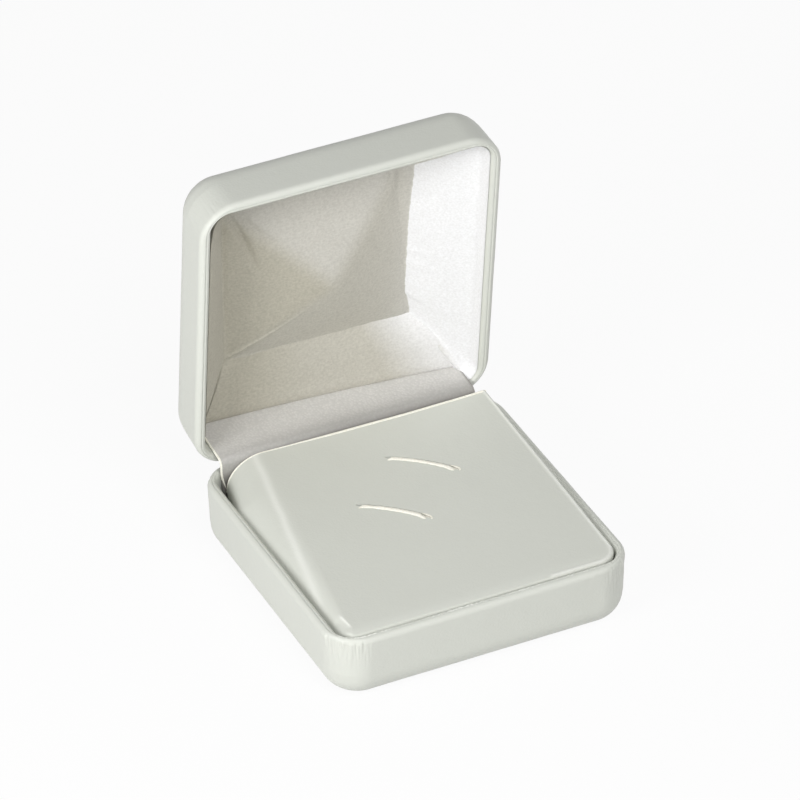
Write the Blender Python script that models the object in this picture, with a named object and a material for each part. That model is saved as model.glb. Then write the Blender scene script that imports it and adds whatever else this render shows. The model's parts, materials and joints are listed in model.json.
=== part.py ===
"""Hinged tie clip box: leatherette over a steel tray and lid, a slit pad and a satin lid lining.

Metres, +Z up. The origin is the centre of the underside, +Y points at the hinge and the lid stands open.
The lid's pieces are drawn over the base as if shut, and an empty on the hinge axis opens them.
"""

import math

import bmesh
import bpy

# Box, outside
BOX_WIDTH = 0.0750
BOX_DEPTH = 0.0763
BASE_HEIGHT = 0.01737
LID_HEIGHT = 0.01626
CORNER_RADIUS = 0.00905
BASE_FILLET = 0.00653
LID_FILLET = 0.00696
DRAFT = 0.00036
LID_OPEN_ANGLE = math.radians(83.28)

# Layers of a wall, from the outside in
COVER_THICKNESS = 0.0007
SHELL_THICKNESS = 0.0007
LAYER_GAP = 0.0003
TURN_IN = 0.0060
CORNER_CROWDING_SHARE = 1.8

# Hinge
RIM_GAP = 0.0003
AXIS_INSET = 0.00042
AXIS_RISE = 0.00027
PIN_RADIUS = 0.0005
PIN_OVERHANG = 0.0002
RUNNING_CLEARANCE = 0.00006
HARDWARE_GAP = 0.0001
LEAF_THICKNESS = 0.0004
LEAF_LENGTH = 0.0075
LEAF_HALF_WIDTH = 0.0110
MIDDLE_KNUCKLE_HALF_WIDTH = 0.0052
KNUCKLE_SIDE_GAP = 0.00015
LEAF_SHOULDER = 0.0019
NOTCH_CLEARANCE = 0.0003
RIVET_RADIUS = 0.0008
RIVET_HEAD_RADIUS = 0.0014
RIVET_HEAD_HEIGHT = 0.0003
RIVET_CROWN_SHARE = 0.6
RIVET_PLACE = 0.0075
RIVET_DROP = 0.0050
SPRING_THICKNESS = 0.00025
SPRING_HALF_WIDTH = 0.0030
SPRING_LENGTH = 0.0058
SPRING_NECK = 0.0013
SPRING_TIP_RISE = 0.0002

# Band over the hinge
STRIP_THICKNESS = 0.0004
STRIP_HALF_WIDTH = 0.0324
STRIP_BASE_DROP = 0.0110
STRIP_LID_REACH = 0.0112
STRIP_BEND_RADIUS = 0.0018

# Pad
PAD_FRONT_HEIGHT = 0.0173
PAD_BACK_HEIGHT = 0.0208
PAD_SIDE_CLEARANCE = 0.0004
PAD_FRONT_CLEARANCE = 0.0004
PAD_BACK_CLEARANCE = 0.0003
PAD_RIGHT_TAPER = 0.0008
PAD_EDGE_RADIUS = 0.0008
PAD_CORNER_RADIUS = 0.0050
PAD_SHARP_RADIUS = 0.0012
RIDGE_FRONT = 0.0029
RIDGE_BACK = 0.0120
FLAP_BACK_TUCK = 0.0034
PAD_SHOULDER_SHARE = 0.88
PAD_COVER_THICKNESS = 0.0006
PAD_COVER_FOOT_RISE = 0.0030
FOAM_THICKNESS = 0.0012
PAD_CARD_THICKNESS = 0.0008
SLIT_LENGTH = 0.0157
SLIT_WIDTH = 0.0005
SLIT_BOW = 0.0007
SLIT_ANGLE = math.radians(-40.5)
SLIT_SPACING = 0.0193
SLIT_SPACING_ANGLE = math.radians(46.5)
SLITS_RIGHT = 0.0023
SLITS_BACK = 0.0082

# Lining of the lid, depths measured from the lid's rim
SATIN_THICKNESS = 0.00025
LINING_CARD_THICKNESS = 0.0005
LINING_RIM_DEPTH = 0.0005
LINING_WALL_DEPTH = 0.0040
LINING_WALL_TAPER = 0.0003
LINING_FLAP_DEPTH = 0.0074
LINING_FLAP_SKEW = 0.0024
LINING_FOLD_SHARE = 0.08
LINING_CORNER_RUN = 0.0035
PANEL_LEFT = 0.0252
PANEL_RIGHT = 0.0222
PANEL_REAR_MARGIN = 0.0180
PANEL_FRONT_MARGIN = 0.0140
PANEL_CORNER_RADIUS = 0.0012
PILLOW_HEIGHT = 0.0056
PILLOW_LEFT = 0.0004
PILLOW_REAR_SHIFT = 0.0012
PILLOW_PEAK_SHARE = 0.97

# How finely round shapes are divided
CORNER_STEPS = 8
FILLET_STEPS = 6
RIM_STEPS = 6
ROLL_STEPS = 14
BEND_STEPS = 2
RIVET_SIDES = 16
PIN_SIDES = 24
PILLOW_STEPS = 3

SHARP_ANGLE = math.radians(35)

# Cutters reach this far past what they cut
OVERRUN = 0.0010

HALF_TURN = math.pi
QUARTER_TURN = math.pi / 2
ROLL_TURN = 3 * QUARTER_TURN
HALF_WIDTH = BOX_WIDTH / 2
HALF_DEPTH = BOX_DEPTH / 2
WALL = 2 * COVER_THICKNESS + 2 * LAYER_GAP + SHELL_THICKNESS
RIM_RADIUS = WALL / 2
SHELL_OUTER = COVER_THICKNESS + LAYER_GAP
SHELL_INNER = SHELL_OUTER + SHELL_THICKNESS
LID_RIM = BASE_HEIGHT + RIM_GAP
AXIS_Y = HALF_DEPTH - AXIS_INSET
AXIS_Z = BASE_HEIGHT + AXIS_RISE
ROLL_RADIUS = PIN_RADIUS + RUNNING_CLEARANCE + LEAF_THICKNESS / 2
BARREL_RADIUS = ROLL_RADIUS + LEAF_THICKNESS / 2
LEAF_BACK = SHELL_INNER + DRAFT + HARDWARE_GAP
LEAF_FRONT = LEAF_BACK + LEAF_THICKNESS
SPRING_BACK = LEAF_FRONT + HARDWARE_GAP
SPRING_FRONT = SPRING_BACK + SPRING_THICKNESS
STRIP_BACK = SPRING_FRONT + 2 * HARDWARE_GAP + RIVET_HEAD_HEIGHT
STRIP_FRONT = STRIP_BACK + STRIP_THICKNESS


def material(name, colour, roughness, metallic=0.0):
    """Principled material of one finish."""
    made = bpy.data.materials.new(name)
    made.use_nodes = True
    shader = made.node_tree.nodes["Principled BSDF"]
    shader.inputs["Base Color"].default_value = (*colour, 1.0)
    shader.inputs["Roughness"].default_value = roughness
    shader.inputs["Metallic"].default_value = metallic
    return made


def finish_mesh(name, builder, finish):
    """Turn the drawn faces outwards and make the object that holds them."""
    bmesh.ops.recalc_face_normals(builder, faces=builder.faces)
    mesh = bpy.data.meshes.new(name)
    builder.to_mesh(mesh)
    builder.free()
    mesh.shade_smooth()
    mesh.set_sharp_from_angle(angle=SHARP_ANGLE)
    piece = bpy.data.objects.new(name, mesh)
    bpy.context.scene.collection.objects.link(piece)
    if finish:
        mesh.materials.append(finish)
    return piece


def skinned(name, rings, finish):
    """Closed solid over rings of equally many points, its first and last ring filled."""
    builder = bmesh.new()
    rows = [[builder.verts.new(point) for point in ring] for ring in rings]
    for lower, upper in zip(rows, rows[1:]):
        for index, corner in enumerate(lower):
            after = (index + 1) % len(lower)
            builder.faces.new((corner, lower[after], upper[after], upper[index]))
    builder.faces.new(rows[0])
    builder.faces.new(rows[-1])
    return finish_mesh(name, builder, finish)


def prism(name, outline, place, low, high, finish=None):
    """Outline drawn in two coordinates and drawn out from low to high along the third."""
    rings = [[place(first, second, level) for first, second in outline] for level in (low, high)]
    return skinned(name, rings, finish)


def along_x(first, second, level):
    return (level, first, second)


def along_z(first, second, level):
    return (first, second, level)


def block(name, low, high):
    """Box between two corners, for cutters."""
    outline = [(low[0], low[1]), (high[0], low[1]), (high[0], high[1]), (low[0], high[1])]
    return prism(name, outline, along_z, low[2], high[2])


def cut(piece, cutter):
    """Take the cutter's shape out of the piece."""
    cutter.hide_render = True
    cutter.display_type = "WIRE"
    modifier = piece.modifiers.new("cut " + cutter.name, "BOOLEAN")
    modifier.operation = "DIFFERENCE"
    modifier.object = cutter


def filleted(corners):
    """Outline whose corners (x, y, radius) are rounded, anticlockwise seen from above."""
    outline = []
    for index, (x, y, radius) in enumerate(corners):
        before = corners[index - 1]
        after = corners[(index + 1) % len(corners)]
        to_before = math.atan2(before[1] - y, before[0] - x)
        to_after = math.atan2(after[1] - y, after[0] - x)
        inside = (to_before - to_after) % (2 * HALF_TURN)
        middle = to_after + inside / 2
        reach = radius / math.sin(inside / 2)
        centre_x = x + reach * math.cos(middle)
        centre_y = y + reach * math.sin(middle)
        sweep = HALF_TURN - inside
        start = to_before + QUARTER_TURN
        for step in range(CORNER_STEPS + 1):
            angle = start + sweep * step / CORNER_STEPS
            outline.append((centre_x + radius * math.cos(angle), centre_y + radius * math.sin(angle)))
    return outline


def box_outline(inset, radius):
    """Plan of the box, drawn in by an inset."""
    x = HALF_WIDTH - inset
    y = HALF_DEPTH - inset
    return filleted([(x, y, radius), (-x, y, radius), (-x, -y, radius), (x, -y, radius)])


def thickened(path, thickness):
    """Closed outline of a strip of even thickness along a path of two coordinates."""
    left = []
    right = []
    for index, (first, second) in enumerate(path):
        before = path[max(index - 1, 0)]
        after = path[min(index + 1, len(path) - 1)]
        into = math.atan2(second - before[1], first - before[0])
        out = math.atan2(after[1] - second, after[0] - first)
        if index == 0:
            into = out
        if index == len(path) - 1:
            out = into
        bend = (out - into + HALF_TURN) % (2 * HALF_TURN) - HALF_TURN
        across = into + bend / 2 + QUARTER_TURN
        reach = thickness / 2 / math.cos(bend / 2)
        left.append((first + reach * math.cos(across), second + reach * math.sin(across)))
        right.append((first - reach * math.cos(across), second - reach * math.sin(across)))
    return left + right[::-1]


# Tray and lid: each is a cover wrapped round a steel shell


def wall_profile(fillet, depth):
    """Floor edge, fillet and foot of the wall of the layer that lies depth inside the outer face.

    A profile point is its inset from the box's plan, its height over the outer face and its corner radius.
    """
    points = []
    for step in range(FILLET_STEPS + 1):
        angle = QUARTER_TURN * step / FILLET_STEPS
        inset = DRAFT + fillet - (fillet - depth) * math.sin(angle)
        height = fillet - (fillet - depth) * math.cos(angle)
        points.append((inset, height, CORNER_RADIUS - CORNER_CROWDING_SHARE * depth - (inset - depth)))
    return points


def rim_arc(height, radius):
    """Half round over the rim, from the outer side to the inner side."""
    points = []
    for step in range(RIM_STEPS + 1):
        angle = HALF_TURN * (1 - step / RIM_STEPS)
        inset = RIM_RADIUS + radius * math.cos(angle)
        points.append((inset, height - RIM_RADIUS + radius * math.sin(angle), rim_corner(inset)))
    return points


def rim_corner(inset):
    """Corner radius of the rim, where the leatherette crowds the inner corners."""
    return CORNER_RADIUS - CORNER_CROWDING_SHARE * inset


def cover_profile(height, fillet):
    """Leatherette: outer skin, round rim and the margin turned in behind it."""
    turned_edge = height - TURN_IN
    inner_face = WALL - COVER_THICKNESS
    return (
        wall_profile(fillet, 0.0)
        + rim_arc(height, RIM_RADIUS)
        + [(WALL, turned_edge, rim_corner(WALL)), (inner_face, turned_edge, rim_corner(inner_face))]
        + rim_arc(height, RIM_RADIUS - COVER_THICKNESS)[::-1]
        + wall_profile(fillet, COVER_THICKNESS)[::-1]
    )


def shell_profile(height, fillet):
    """Steel: one even sheet with a round rim."""
    return (
        wall_profile(fillet, SHELL_OUTER)
        + rim_arc(height, SHELL_THICKNESS / 2)
        + wall_profile(fillet, SHELL_INNER)[::-1]
    )


def upward(height):
    """Height over the underside of the base."""
    return height


def downward(height):
    """Height of a point of the shut lid that lies this far under its top."""
    return LID_RIM + LID_HEIGHT - height


def drawn(name, profile, level, finish):
    """Tray or lid piece from its profile."""
    rings = [
        [(x, y, level(height)) for x, y in box_outline(inset, radius)] for inset, height, radius in profile
    ]
    return skinned(name, rings, finish)


# Hinge


def leaf_path(side):
    """Centre line of a leaf in (y, z): plate, bend under the barrel and three quarters of a roll."""
    plate_y = HALF_DEPTH - (LEAF_BACK + LEAF_FRONT) / 2
    bend = LEAF_THICKNESS
    path = [(plate_y, AXIS_Z + side * LEAF_LENGTH)]
    for step in range(BEND_STEPS + 1):
        angle = QUARTER_TURN * step / BEND_STEPS
        path.append(
            (plate_y + bend - bend * math.cos(angle), AXIS_Z + side * (ROLL_RADIUS + bend - bend * math.sin(angle)))
        )
    for step in range(ROLL_STEPS + 1):
        angle = ROLL_TURN * step / ROLL_STEPS
        path.append((AXIS_Y + ROLL_RADIUS * math.sin(angle), AXIS_Z + side * ROLL_RADIUS * math.cos(angle)))
    return path


def leaf(name, side, finish):
    """Stamped leaf over the full width; its knuckles are parted by cuts."""
    outline = thickened(leaf_path(side), LEAF_THICKNESS)
    return prism(name, outline, along_x, -LEAF_HALF_WIDTH, LEAF_HALF_WIDTH, finish)


def knuckle_gap(name, left, right, side):
    """Cutter that takes the roll and its shoulder away between two places along the barrel."""
    near = AXIS_Z + side * LEAF_SHOULDER
    far = AXIS_Z - side * (BARREL_RADIUS + OVERRUN)
    return block(
        name,
        (left, HALF_DEPTH - LEAF_FRONT - OVERRUN, min(near, far)),
        (right, HALF_DEPTH + BARREL_RADIUS + OVERRUN, max(near, far)),
    )


def turned_about_y(name, profile, x, z, sides, finish):
    """Round piece on an axis along Y, from a profile of (y, radius)."""
    rings = []
    for y, radius in profile:
        ring = []
        for side in range(sides):
            angle = 2 * HALF_TURN * side / sides
            ring.append((x + radius * math.cos(angle), y, z + radius * math.sin(angle)))
        rings.append(ring)
    return skinned(name, rings, finish)


def rivet(name, x, z, seat, finish):
    """Rivet through the back wall: low round head in the box, shank flush with the steel."""
    head = HALF_DEPTH - seat - HARDWARE_GAP
    crown = RIVET_HEAD_RADIUS * RIVET_CROWN_SHARE
    profile = [
        (head - RIVET_HEAD_HEIGHT, crown),
        (head - RIVET_HEAD_HEIGHT / 2, RIVET_HEAD_RADIUS),
        (head, RIVET_HEAD_RADIUS),
        (head, RIVET_RADIUS),
        (HALF_DEPTH - SHELL_OUTER - DRAFT, RIVET_RADIUS),
    ]
    return turned_about_y(name, profile, x, z, RIVET_SIDES, finish)


def rivet_hole(name, x, z):
    """Cutter for the hole that a rivet passes."""
    radius = RIVET_RADIUS + HARDWARE_GAP
    profile = [(HALF_DEPTH - SPRING_FRONT - OVERRUN, radius), (HALF_DEPTH - COVER_THICKNESS - LAYER_GAP / 2, radius)]
    return turned_about_y(name, profile, x, z, RIVET_SIDES, None)


def spring_path():
    """Centre line of the snap spring in (y, z): flat on the leaf, then bent back at the middle knuckle."""
    flat_y = HALF_DEPTH - (SPRING_BACK + SPRING_FRONT) / 2
    tip_y = AXIS_Y - BARREL_RADIUS - LAYER_GAP - SPRING_THICKNESS / 2
    top = AXIS_Z - SPRING_NECK
    return [
        (flat_y, top - SPRING_LENGTH),
        (flat_y, top),
        (tip_y, AXIS_Z - SPRING_TIP_RISE),
        (tip_y, AXIS_Z + SPRING_TIP_RISE),
    ]


# Band over the hinge


def lid_point(across, depth):
    """Point (y, z) of the open lid: distance from its back face and depth behind its rim."""
    shut_y = HALF_DEPTH - across - AXIS_Y
    shut_z = LID_RIM + depth - AXIS_Z
    cosine = math.cos(LID_OPEN_ANGLE)
    sine = math.sin(LID_OPEN_ANGLE)
    return (AXIS_Y + shut_y * cosine + shut_z * sine, AXIS_Z - shut_y * sine + shut_z * cosine)


def strip_path():
    """Centre line of the band in (y, z): down behind the pad, round the bend and along the lid's back wall."""
    middle = (STRIP_BACK + STRIP_FRONT) / 2
    down_y = HALF_DEPTH - middle
    lean = QUARTER_TURN - LID_OPEN_ANGLE
    far = lid_point(middle, STRIP_LID_REACH)
    near = lid_point(middle, 0.0)
    turn = QUARTER_TURN - lean
    centre_y = down_y + STRIP_BEND_RADIUS
    line_z = near[1] + (centre_y - near[0]) * math.tan(lean)
    centre_z = line_z - STRIP_BEND_RADIUS / math.cos(lean)
    path = [(down_y, BASE_HEIGHT - STRIP_BASE_DROP)]
    for step in range(RIM_STEPS + 1):
        angle = HALF_TURN - turn * step / RIM_STEPS
        path.append((centre_y + STRIP_BEND_RADIUS * math.cos(angle), centre_z + STRIP_BEND_RADIUS * math.sin(angle)))
    return path + [far]


# Pad


def pad_level(y):
    """Height of the pad's sloping top."""
    front = WALL + PAD_FRONT_CLEARANCE - HALF_DEPTH
    back = HALF_DEPTH - STRIP_FRONT - PAD_BACK_CLEARANCE
    return PAD_FRONT_HEIGHT + (PAD_BACK_HEIGHT - PAD_FRONT_HEIGHT) * (y - front) / (back - front)


def pad_foot_outline(inset):
    """Plan of the pad's skirt, drawn in by an inset."""
    right = HALF_WIDTH - WALL - PAD_SIDE_CLEARANCE - inset
    left = -right
    front = WALL + PAD_FRONT_CLEARANCE + inset - HALF_DEPTH
    back = HALF_DEPTH - STRIP_FRONT - PAD_BACK_CLEARANCE - inset
    return filleted(
        [
            (right - PAD_RIGHT_TAPER, back, PAD_SHARP_RADIUS),
            (left + FLAP_BACK_TUCK, back, PAD_SHARP_RADIUS),
            (left, front, PAD_CORNER_RADIUS - inset),
            (right, front, PAD_CORNER_RADIUS - inset),
        ]
    )


def pad_top_outline(inset):
    """Plan of the pad's flat top, whose left edge is the ridge over the rounded flap."""
    edge = inset + PAD_EDGE_RADIUS
    right = HALF_WIDTH - WALL - PAD_SIDE_CLEARANCE - edge
    left = WALL + PAD_SIDE_CLEARANCE + inset - HALF_WIDTH
    front = WALL + PAD_FRONT_CLEARANCE + edge - HALF_DEPTH
    back = HALF_DEPTH - STRIP_FRONT - PAD_BACK_CLEARANCE - edge
    return filleted(
        [
            (right - PAD_RIGHT_TAPER, back, PAD_SHARP_RADIUS / 2),
            (left + RIDGE_BACK, back, PAD_SHARP_RADIUS / 2),
            (left + RIDGE_FRONT, front, PAD_SHARP_RADIUS / 2),
            (right, front, PAD_CORNER_RADIUS - edge),
        ]
    )


def pad_rings(inset, sink, foot):
    """Rings of one face of a pad layer: flat top, rounded edge and skirt down to the foot."""
    top = pad_top_outline(inset)
    skirt = pad_foot_outline(inset)
    rings = []
    for step in range(FILLET_STEPS + 1):
        angle = QUARTER_TURN * step / FILLET_STEPS
        ring = []
        for (top_x, top_y), (foot_x, foot_y) in zip(top, skirt):
            drop = PAD_SHOULDER_SHARE * math.hypot(foot_x - top_x, foot_y - top_y)
            ring.append(
                (
                    top_x + (foot_x - top_x) * math.sin(angle),
                    top_y + (foot_y - top_y) * math.sin(angle),
                    pad_level(top_y) - sink - drop * (1 - math.cos(angle)),
                )
            )
        rings.append(ring)
    rings.append([(x, y, foot) for x, y in skirt])
    return rings


def pad_layer(name, inset, sink, thickness, foot, finish):
    """Sheet folded over the pad's shape, open underneath."""
    outer = pad_rings(inset, sink, foot)
    inner = pad_rings(inset + thickness, sink + thickness, foot)
    return skinned(name, outer + inner[::-1], finish)


def shell_floor_height(inset):
    """Height of the tray's inner face at an inset from the box's plan."""
    centre = DRAFT + BASE_FILLET
    radius = BASE_FILLET - SHELL_INNER
    across = min(max(centre - inset, 0.0), radius)
    return BASE_FILLET - math.sqrt(radius**2 - across**2)


def slit_cutter(name, x, y):
    """Thin bowed cutter for a slit, through every layer of the pad's top."""
    path = []
    for step in range(RIM_STEPS + 1):
        share = 2 * step / RIM_STEPS - 1
        run = share * SLIT_LENGTH / 2
        rise = SLIT_BOW * (1 - share**2)
        path.append(
            (
                x + run * math.cos(SLIT_ANGLE) - rise * math.sin(SLIT_ANGLE),
                y + run * math.sin(SLIT_ANGLE) + rise * math.cos(SLIT_ANGLE),
            )
        )
    outline = thickened(path, SLIT_WIDTH)
    low = PAD_FRONT_HEIGHT - PAD_COVER_THICKNESS - FOAM_THICKNESS - PAD_CARD_THICKNESS - 2 * LAYER_GAP - OVERRUN
    return prism(name, outline, along_z, low, PAD_BACK_HEIGHT + OVERRUN)


# Lining of the lid


def blended(first, second, share):
    """Point a share of the way from the first point to the second."""
    return tuple(a + (b - a) * share for a, b in zip(first, second))


def lining_rings(back, starts_at_rim):
    """Rings of the lining face that lies back from the seen one: rim, wall, panel edge and pillow.

    The rear wall is a flap that starts deeper than the other three, on top of the band over the hinge.
    """
    rim_inset = WALL + LAYER_GAP + SATIN_THICKNESS
    rim = box_outline(rim_inset - back, rim_corner(WALL))
    wall = box_outline(rim_inset + LINING_WALL_TAPER - back, rim_corner(WALL))
    panel_depth = LID_HEIGHT - SHELL_INNER - 2 * LAYER_GAP - LINING_CARD_THICKNESS - SATIN_THICKNESS + back
    rear = HALF_DEPTH - PANEL_REAR_MARGIN
    front = PANEL_FRONT_MARGIN - HALF_DEPTH
    panel = filleted(
        [
            (PANEL_RIGHT, rear, PANEL_CORNER_RADIUS),
            (-PANEL_LEFT, rear, PANEL_CORNER_RADIUS),
            (-PANEL_LEFT, front, PANEL_CORNER_RADIUS),
            (PANEL_RIGHT, front, PANEL_CORNER_RADIUS),
        ]
    )
    flap_y = HALF_DEPTH - STRIP_FRONT - LAYER_GAP - SATIN_THICKNESS + back
    rows = [[], [], []]
    for (rim_x, rim_y), (wall_x, wall_y), (panel_x, panel_y) in zip(rim, wall, panel):
        edge = (panel_x, panel_y, panel_depth)
        flap_start = (rim_x, flap_y, LINING_FLAP_DEPTH - LINING_FLAP_SKEW * rim_x / HALF_WIDTH)
        flap_fold = blended(flap_start, edge, LINING_FOLD_SHARE)
        flap = min(max((rim_y - flap_y) / LINING_CORNER_RUN + 1.0, 0.0), 1.0)
        rows[0].append(blended((rim_x, rim_y, LINING_RIM_DEPTH), flap_start, flap))
        rows[1].append(blended((wall_x, wall_y, LINING_WALL_DEPTH + back), flap_fold, flap))
        rows[2].append(edge)
    if not starts_at_rim:
        rows[0] = [blended(fold, edge, LINING_FOLD_SHARE) for fold, edge in zip(rows[1], rows[2])]
        rows[1:2] = []
    edges = rows[-1]
    peak = (-PILLOW_LEFT, PILLOW_REAR_SHIFT, panel_depth - PILLOW_HEIGHT)
    for step in range(PILLOW_STEPS):
        share = PILLOW_PEAK_SHARE * (step + 1) / PILLOW_STEPS
        rows.append([blended(edge, peak, share) for edge in edges])
    return [[(x, y, LID_RIM + depth) for x, y, depth in row] for row in rows]


def lining_layer(name, back, thickness, starts_at_rim, finish):
    """Sheet of the lining, from its seen face to its hidden one."""
    seen = lining_rings(back, starts_at_rim)
    hidden = lining_rings(back + thickness, starts_at_rim)
    return skinned(name, seen[::-1] + hidden, finish)


def build_base(finishes):
    """Tray, its cover and what is fixed in it."""
    shell = drawn("base_shell", shell_profile(BASE_HEIGHT, BASE_FILLET), upward, finishes["steel"])
    cover = drawn("base_cover", cover_profile(BASE_HEIGHT, BASE_FILLET), upward, finishes["leatherette"])
    return shell, cover


def build_lid(finishes):
    """Lid shell and its cover, drawn shut."""
    shell = drawn("lid_shell", shell_profile(LID_HEIGHT, LID_FILLET), downward, finishes["steel"])
    cover = drawn("lid_cover", cover_profile(LID_HEIGHT, LID_FILLET), downward, finishes["leatherette"])
    return shell, cover


def notch(name, side):
    """Cutter for the gap in a rear rim where the barrel lies."""
    half = LEAF_HALF_WIDTH + NOTCH_CLEARANCE
    near = AXIS_Z + side * (BARREL_RADIUS + NOTCH_CLEARANCE)
    far = AXIS_Z - side * (BARREL_RADIUS + OVERRUN)
    return block(
        name,
        (-half, HALF_DEPTH - WALL - OVERRUN, min(near, far)),
        (half, HALF_DEPTH + OVERRUN, max(near, far)),
    )


def turn_in_gap(name, side):
    """Cutter that leaves the turned-in margin out where a leaf lies on the steel."""
    half = LEAF_HALF_WIDTH + NOTCH_CLEARANCE
    near = AXIS_Z
    far = AXIS_Z + side * (TURN_IN + OVERRUN)
    return block(
        name,
        (-half, HALF_DEPTH - WALL - OVERRUN, min(near, far)),
        (half, HALF_DEPTH - SHELL_INNER - LAYER_GAP / 2, max(near, far)),
    )


def main():
    for old in list(bpy.data.objects):
        bpy.data.objects.remove(old, do_unlink=True)

    finishes = {
        "leatherette": material("leatherette", (0.72, 0.73, 0.68), 0.50),
        "satin": material("satin", (0.66, 0.64, 0.57), 0.38),
        "band": material("band", (0.66, 0.65, 0.61), 0.62),
        "steel": material("steel", (0.55, 0.56, 0.57), 0.35, 1.0),
        "card": material("card", (0.70, 0.66, 0.58), 0.85),
        "foam": material("foam", (0.85, 0.84, 0.78), 0.95),
    }

    lid_hinge = bpy.data.objects.new("lid_hinge_axis", None)
    bpy.context.scene.collection.objects.link(lid_hinge)
    lid_hinge.location = (0.0, AXIS_Y, AXIS_Z)
    lid_hinge.rotation_euler = (-LID_OPEN_ANGLE, 0.0, 0.0)

    def on_lid(piece):
        """Hang a piece that is drawn shut on the hinge axis."""
        piece.parent = lid_hinge
        piece.location = (0.0, -AXIS_Y, -AXIS_Z)
        return piece

    base_shell, base_cover = build_base(finishes)
    lid_shell, lid_cover = build_lid(finishes)
    for piece in (lid_shell, lid_cover):
        on_lid(piece)

    base_leaf = leaf("base_hinge_leaf", -1, finishes["steel"])
    lid_leaf = on_lid(leaf("lid_hinge_leaf", 1, finishes["steel"]))
    base_notch = notch("base notch", -1)
    lid_notch = on_lid(notch("lid notch", 1))
    base_turn_in_gap = turn_in_gap("base turn-in gap", -1)
    lid_turn_in_gap = on_lid(turn_in_gap("lid turn-in gap", 1))
    for piece in (base_shell, base_cover):
        cut(piece, base_notch)
    for piece in (lid_shell, lid_cover):
        cut(piece, lid_notch)
    cut(base_cover, base_turn_in_gap)
    cut(lid_cover, lid_turn_in_gap)

    middle = MIDDLE_KNUCKLE_HALF_WIDTH + KNUCKLE_SIDE_GAP
    cut(base_leaf, knuckle_gap("base knuckle gap", -middle, middle, -1))
    for name, side in (("left", -1), ("right", 1)):
        inner = side * MIDDLE_KNUCKLE_HALF_WIDTH
        outer = side * (LEAF_HALF_WIDTH + OVERRUN)
        gap = on_lid(knuckle_gap("lid knuckle gap " + name, min(inner, outer), max(inner, outer), 1))
        cut(lid_leaf, gap)

    for name, x in (("left", -RIVET_PLACE), ("right", RIVET_PLACE)):
        rivet("base_rivet_" + name, x, AXIS_Z - RIVET_DROP, LEAF_FRONT, finishes["steel"])
        hole = rivet_hole("base rivet hole " + name, x, AXIS_Z - RIVET_DROP)
        cut(base_leaf, hole)
        cut(base_shell, hole)
        on_lid(rivet("lid_rivet_" + name, x, AXIS_Z + RIVET_DROP, LEAF_FRONT, finishes["steel"]))
        hole = on_lid(rivet_hole("lid rivet hole " + name, x, AXIS_Z + RIVET_DROP))
        cut(lid_leaf, hole)
        cut(lid_shell, hole)

    spring = prism(
        "snap_spring",
        thickened(spring_path(), SPRING_THICKNESS),
        along_x,
        -SPRING_HALF_WIDTH,
        SPRING_HALF_WIDTH,
        finishes["steel"],
    )
    rivet("spring_rivet", 0.0, AXIS_Z - RIVET_DROP, SPRING_FRONT, finishes["steel"])
    hole = rivet_hole("spring rivet hole", 0.0, AXIS_Z - RIVET_DROP)
    for piece in (base_leaf, base_shell, spring):
        cut(piece, hole)

    pin = []
    for side in range(PIN_SIDES):
        angle = 2 * HALF_TURN * side / PIN_SIDES
        pin.append((AXIS_Y + PIN_RADIUS * math.cos(angle), AXIS_Z + PIN_RADIUS * math.sin(angle)))
    pin_half = LEAF_HALF_WIDTH + PIN_OVERHANG
    prism("hinge_pin", pin, along_x, -pin_half, pin_half, finishes["steel"])

    prism(
        "hinge_strip",
        thickened(strip_path(), STRIP_THICKNESS),
        along_x,
        -STRIP_HALF_WIDTH,
        STRIP_HALF_WIDTH,
        finishes["band"],
    )

    card_inset = PAD_COVER_THICKNESS + LAYER_GAP
    card_sink = card_inset + FOAM_THICKNESS + LAYER_GAP
    card_foot = shell_floor_height(WALL + PAD_SIDE_CLEARANCE + card_inset) + LAYER_GAP
    cover_foot = shell_floor_height(WALL + PAD_SIDE_CLEARANCE) + PAD_COVER_FOOT_RISE
    pad_pieces = [
        pad_layer("pad_cover", 0.0, 0.0, PAD_COVER_THICKNESS, cover_foot, finishes["leatherette"]),
        pad_layer("pad_card", card_inset, card_sink, PAD_CARD_THICKNESS, card_foot, finishes["card"]),
    ]
    foam_outline = pad_top_outline(card_inset)
    foam_rings = []
    for sink in (card_inset, card_inset + FOAM_THICKNESS):
        foam_rings.append([(x, y, pad_level(y) - sink) for x, y in foam_outline])
    pad_pieces.append(skinned("pad_foam", foam_rings, finishes["foam"]))
    for name, side in (("rear", 1), ("front", -1)):
        x = SLITS_RIGHT + side * SLIT_SPACING / 2 * math.cos(SLIT_SPACING_ANGLE)
        y = SLITS_BACK + side * SLIT_SPACING / 2 * math.sin(SLIT_SPACING_ANGLE)
        slit = slit_cutter("slit " + name, x, y)
        for piece in pad_pieces:
            cut(piece, slit)

    on_lid(lining_layer("lid_lining_satin", 0.0, SATIN_THICKNESS, True, finishes["satin"]))
    card_back = SATIN_THICKNESS + LAYER_GAP
    on_lid(lining_layer("lid_lining_card", card_back, LINING_CARD_THICKNESS, False, finishes["card"]))


main()
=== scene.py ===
# %% [markdown]
# A tie clip box stands open on a white table. Its tray and lid are pressed steel wrapped in white
# leatherette, a padded insert with two slits holds the clip, and the lid is lined with satin.
# Another program has built the solid parts. They are loaded here as a fixed frame, and the scene
# only dresses them, so every piece below is placed by the frame's own measures.

# %% load the frame
import json
import math

import bmesh
import bpy
from mathutils import Matrix, Vector, noise
from mathutils.bvhtree import BVHTree


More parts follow.
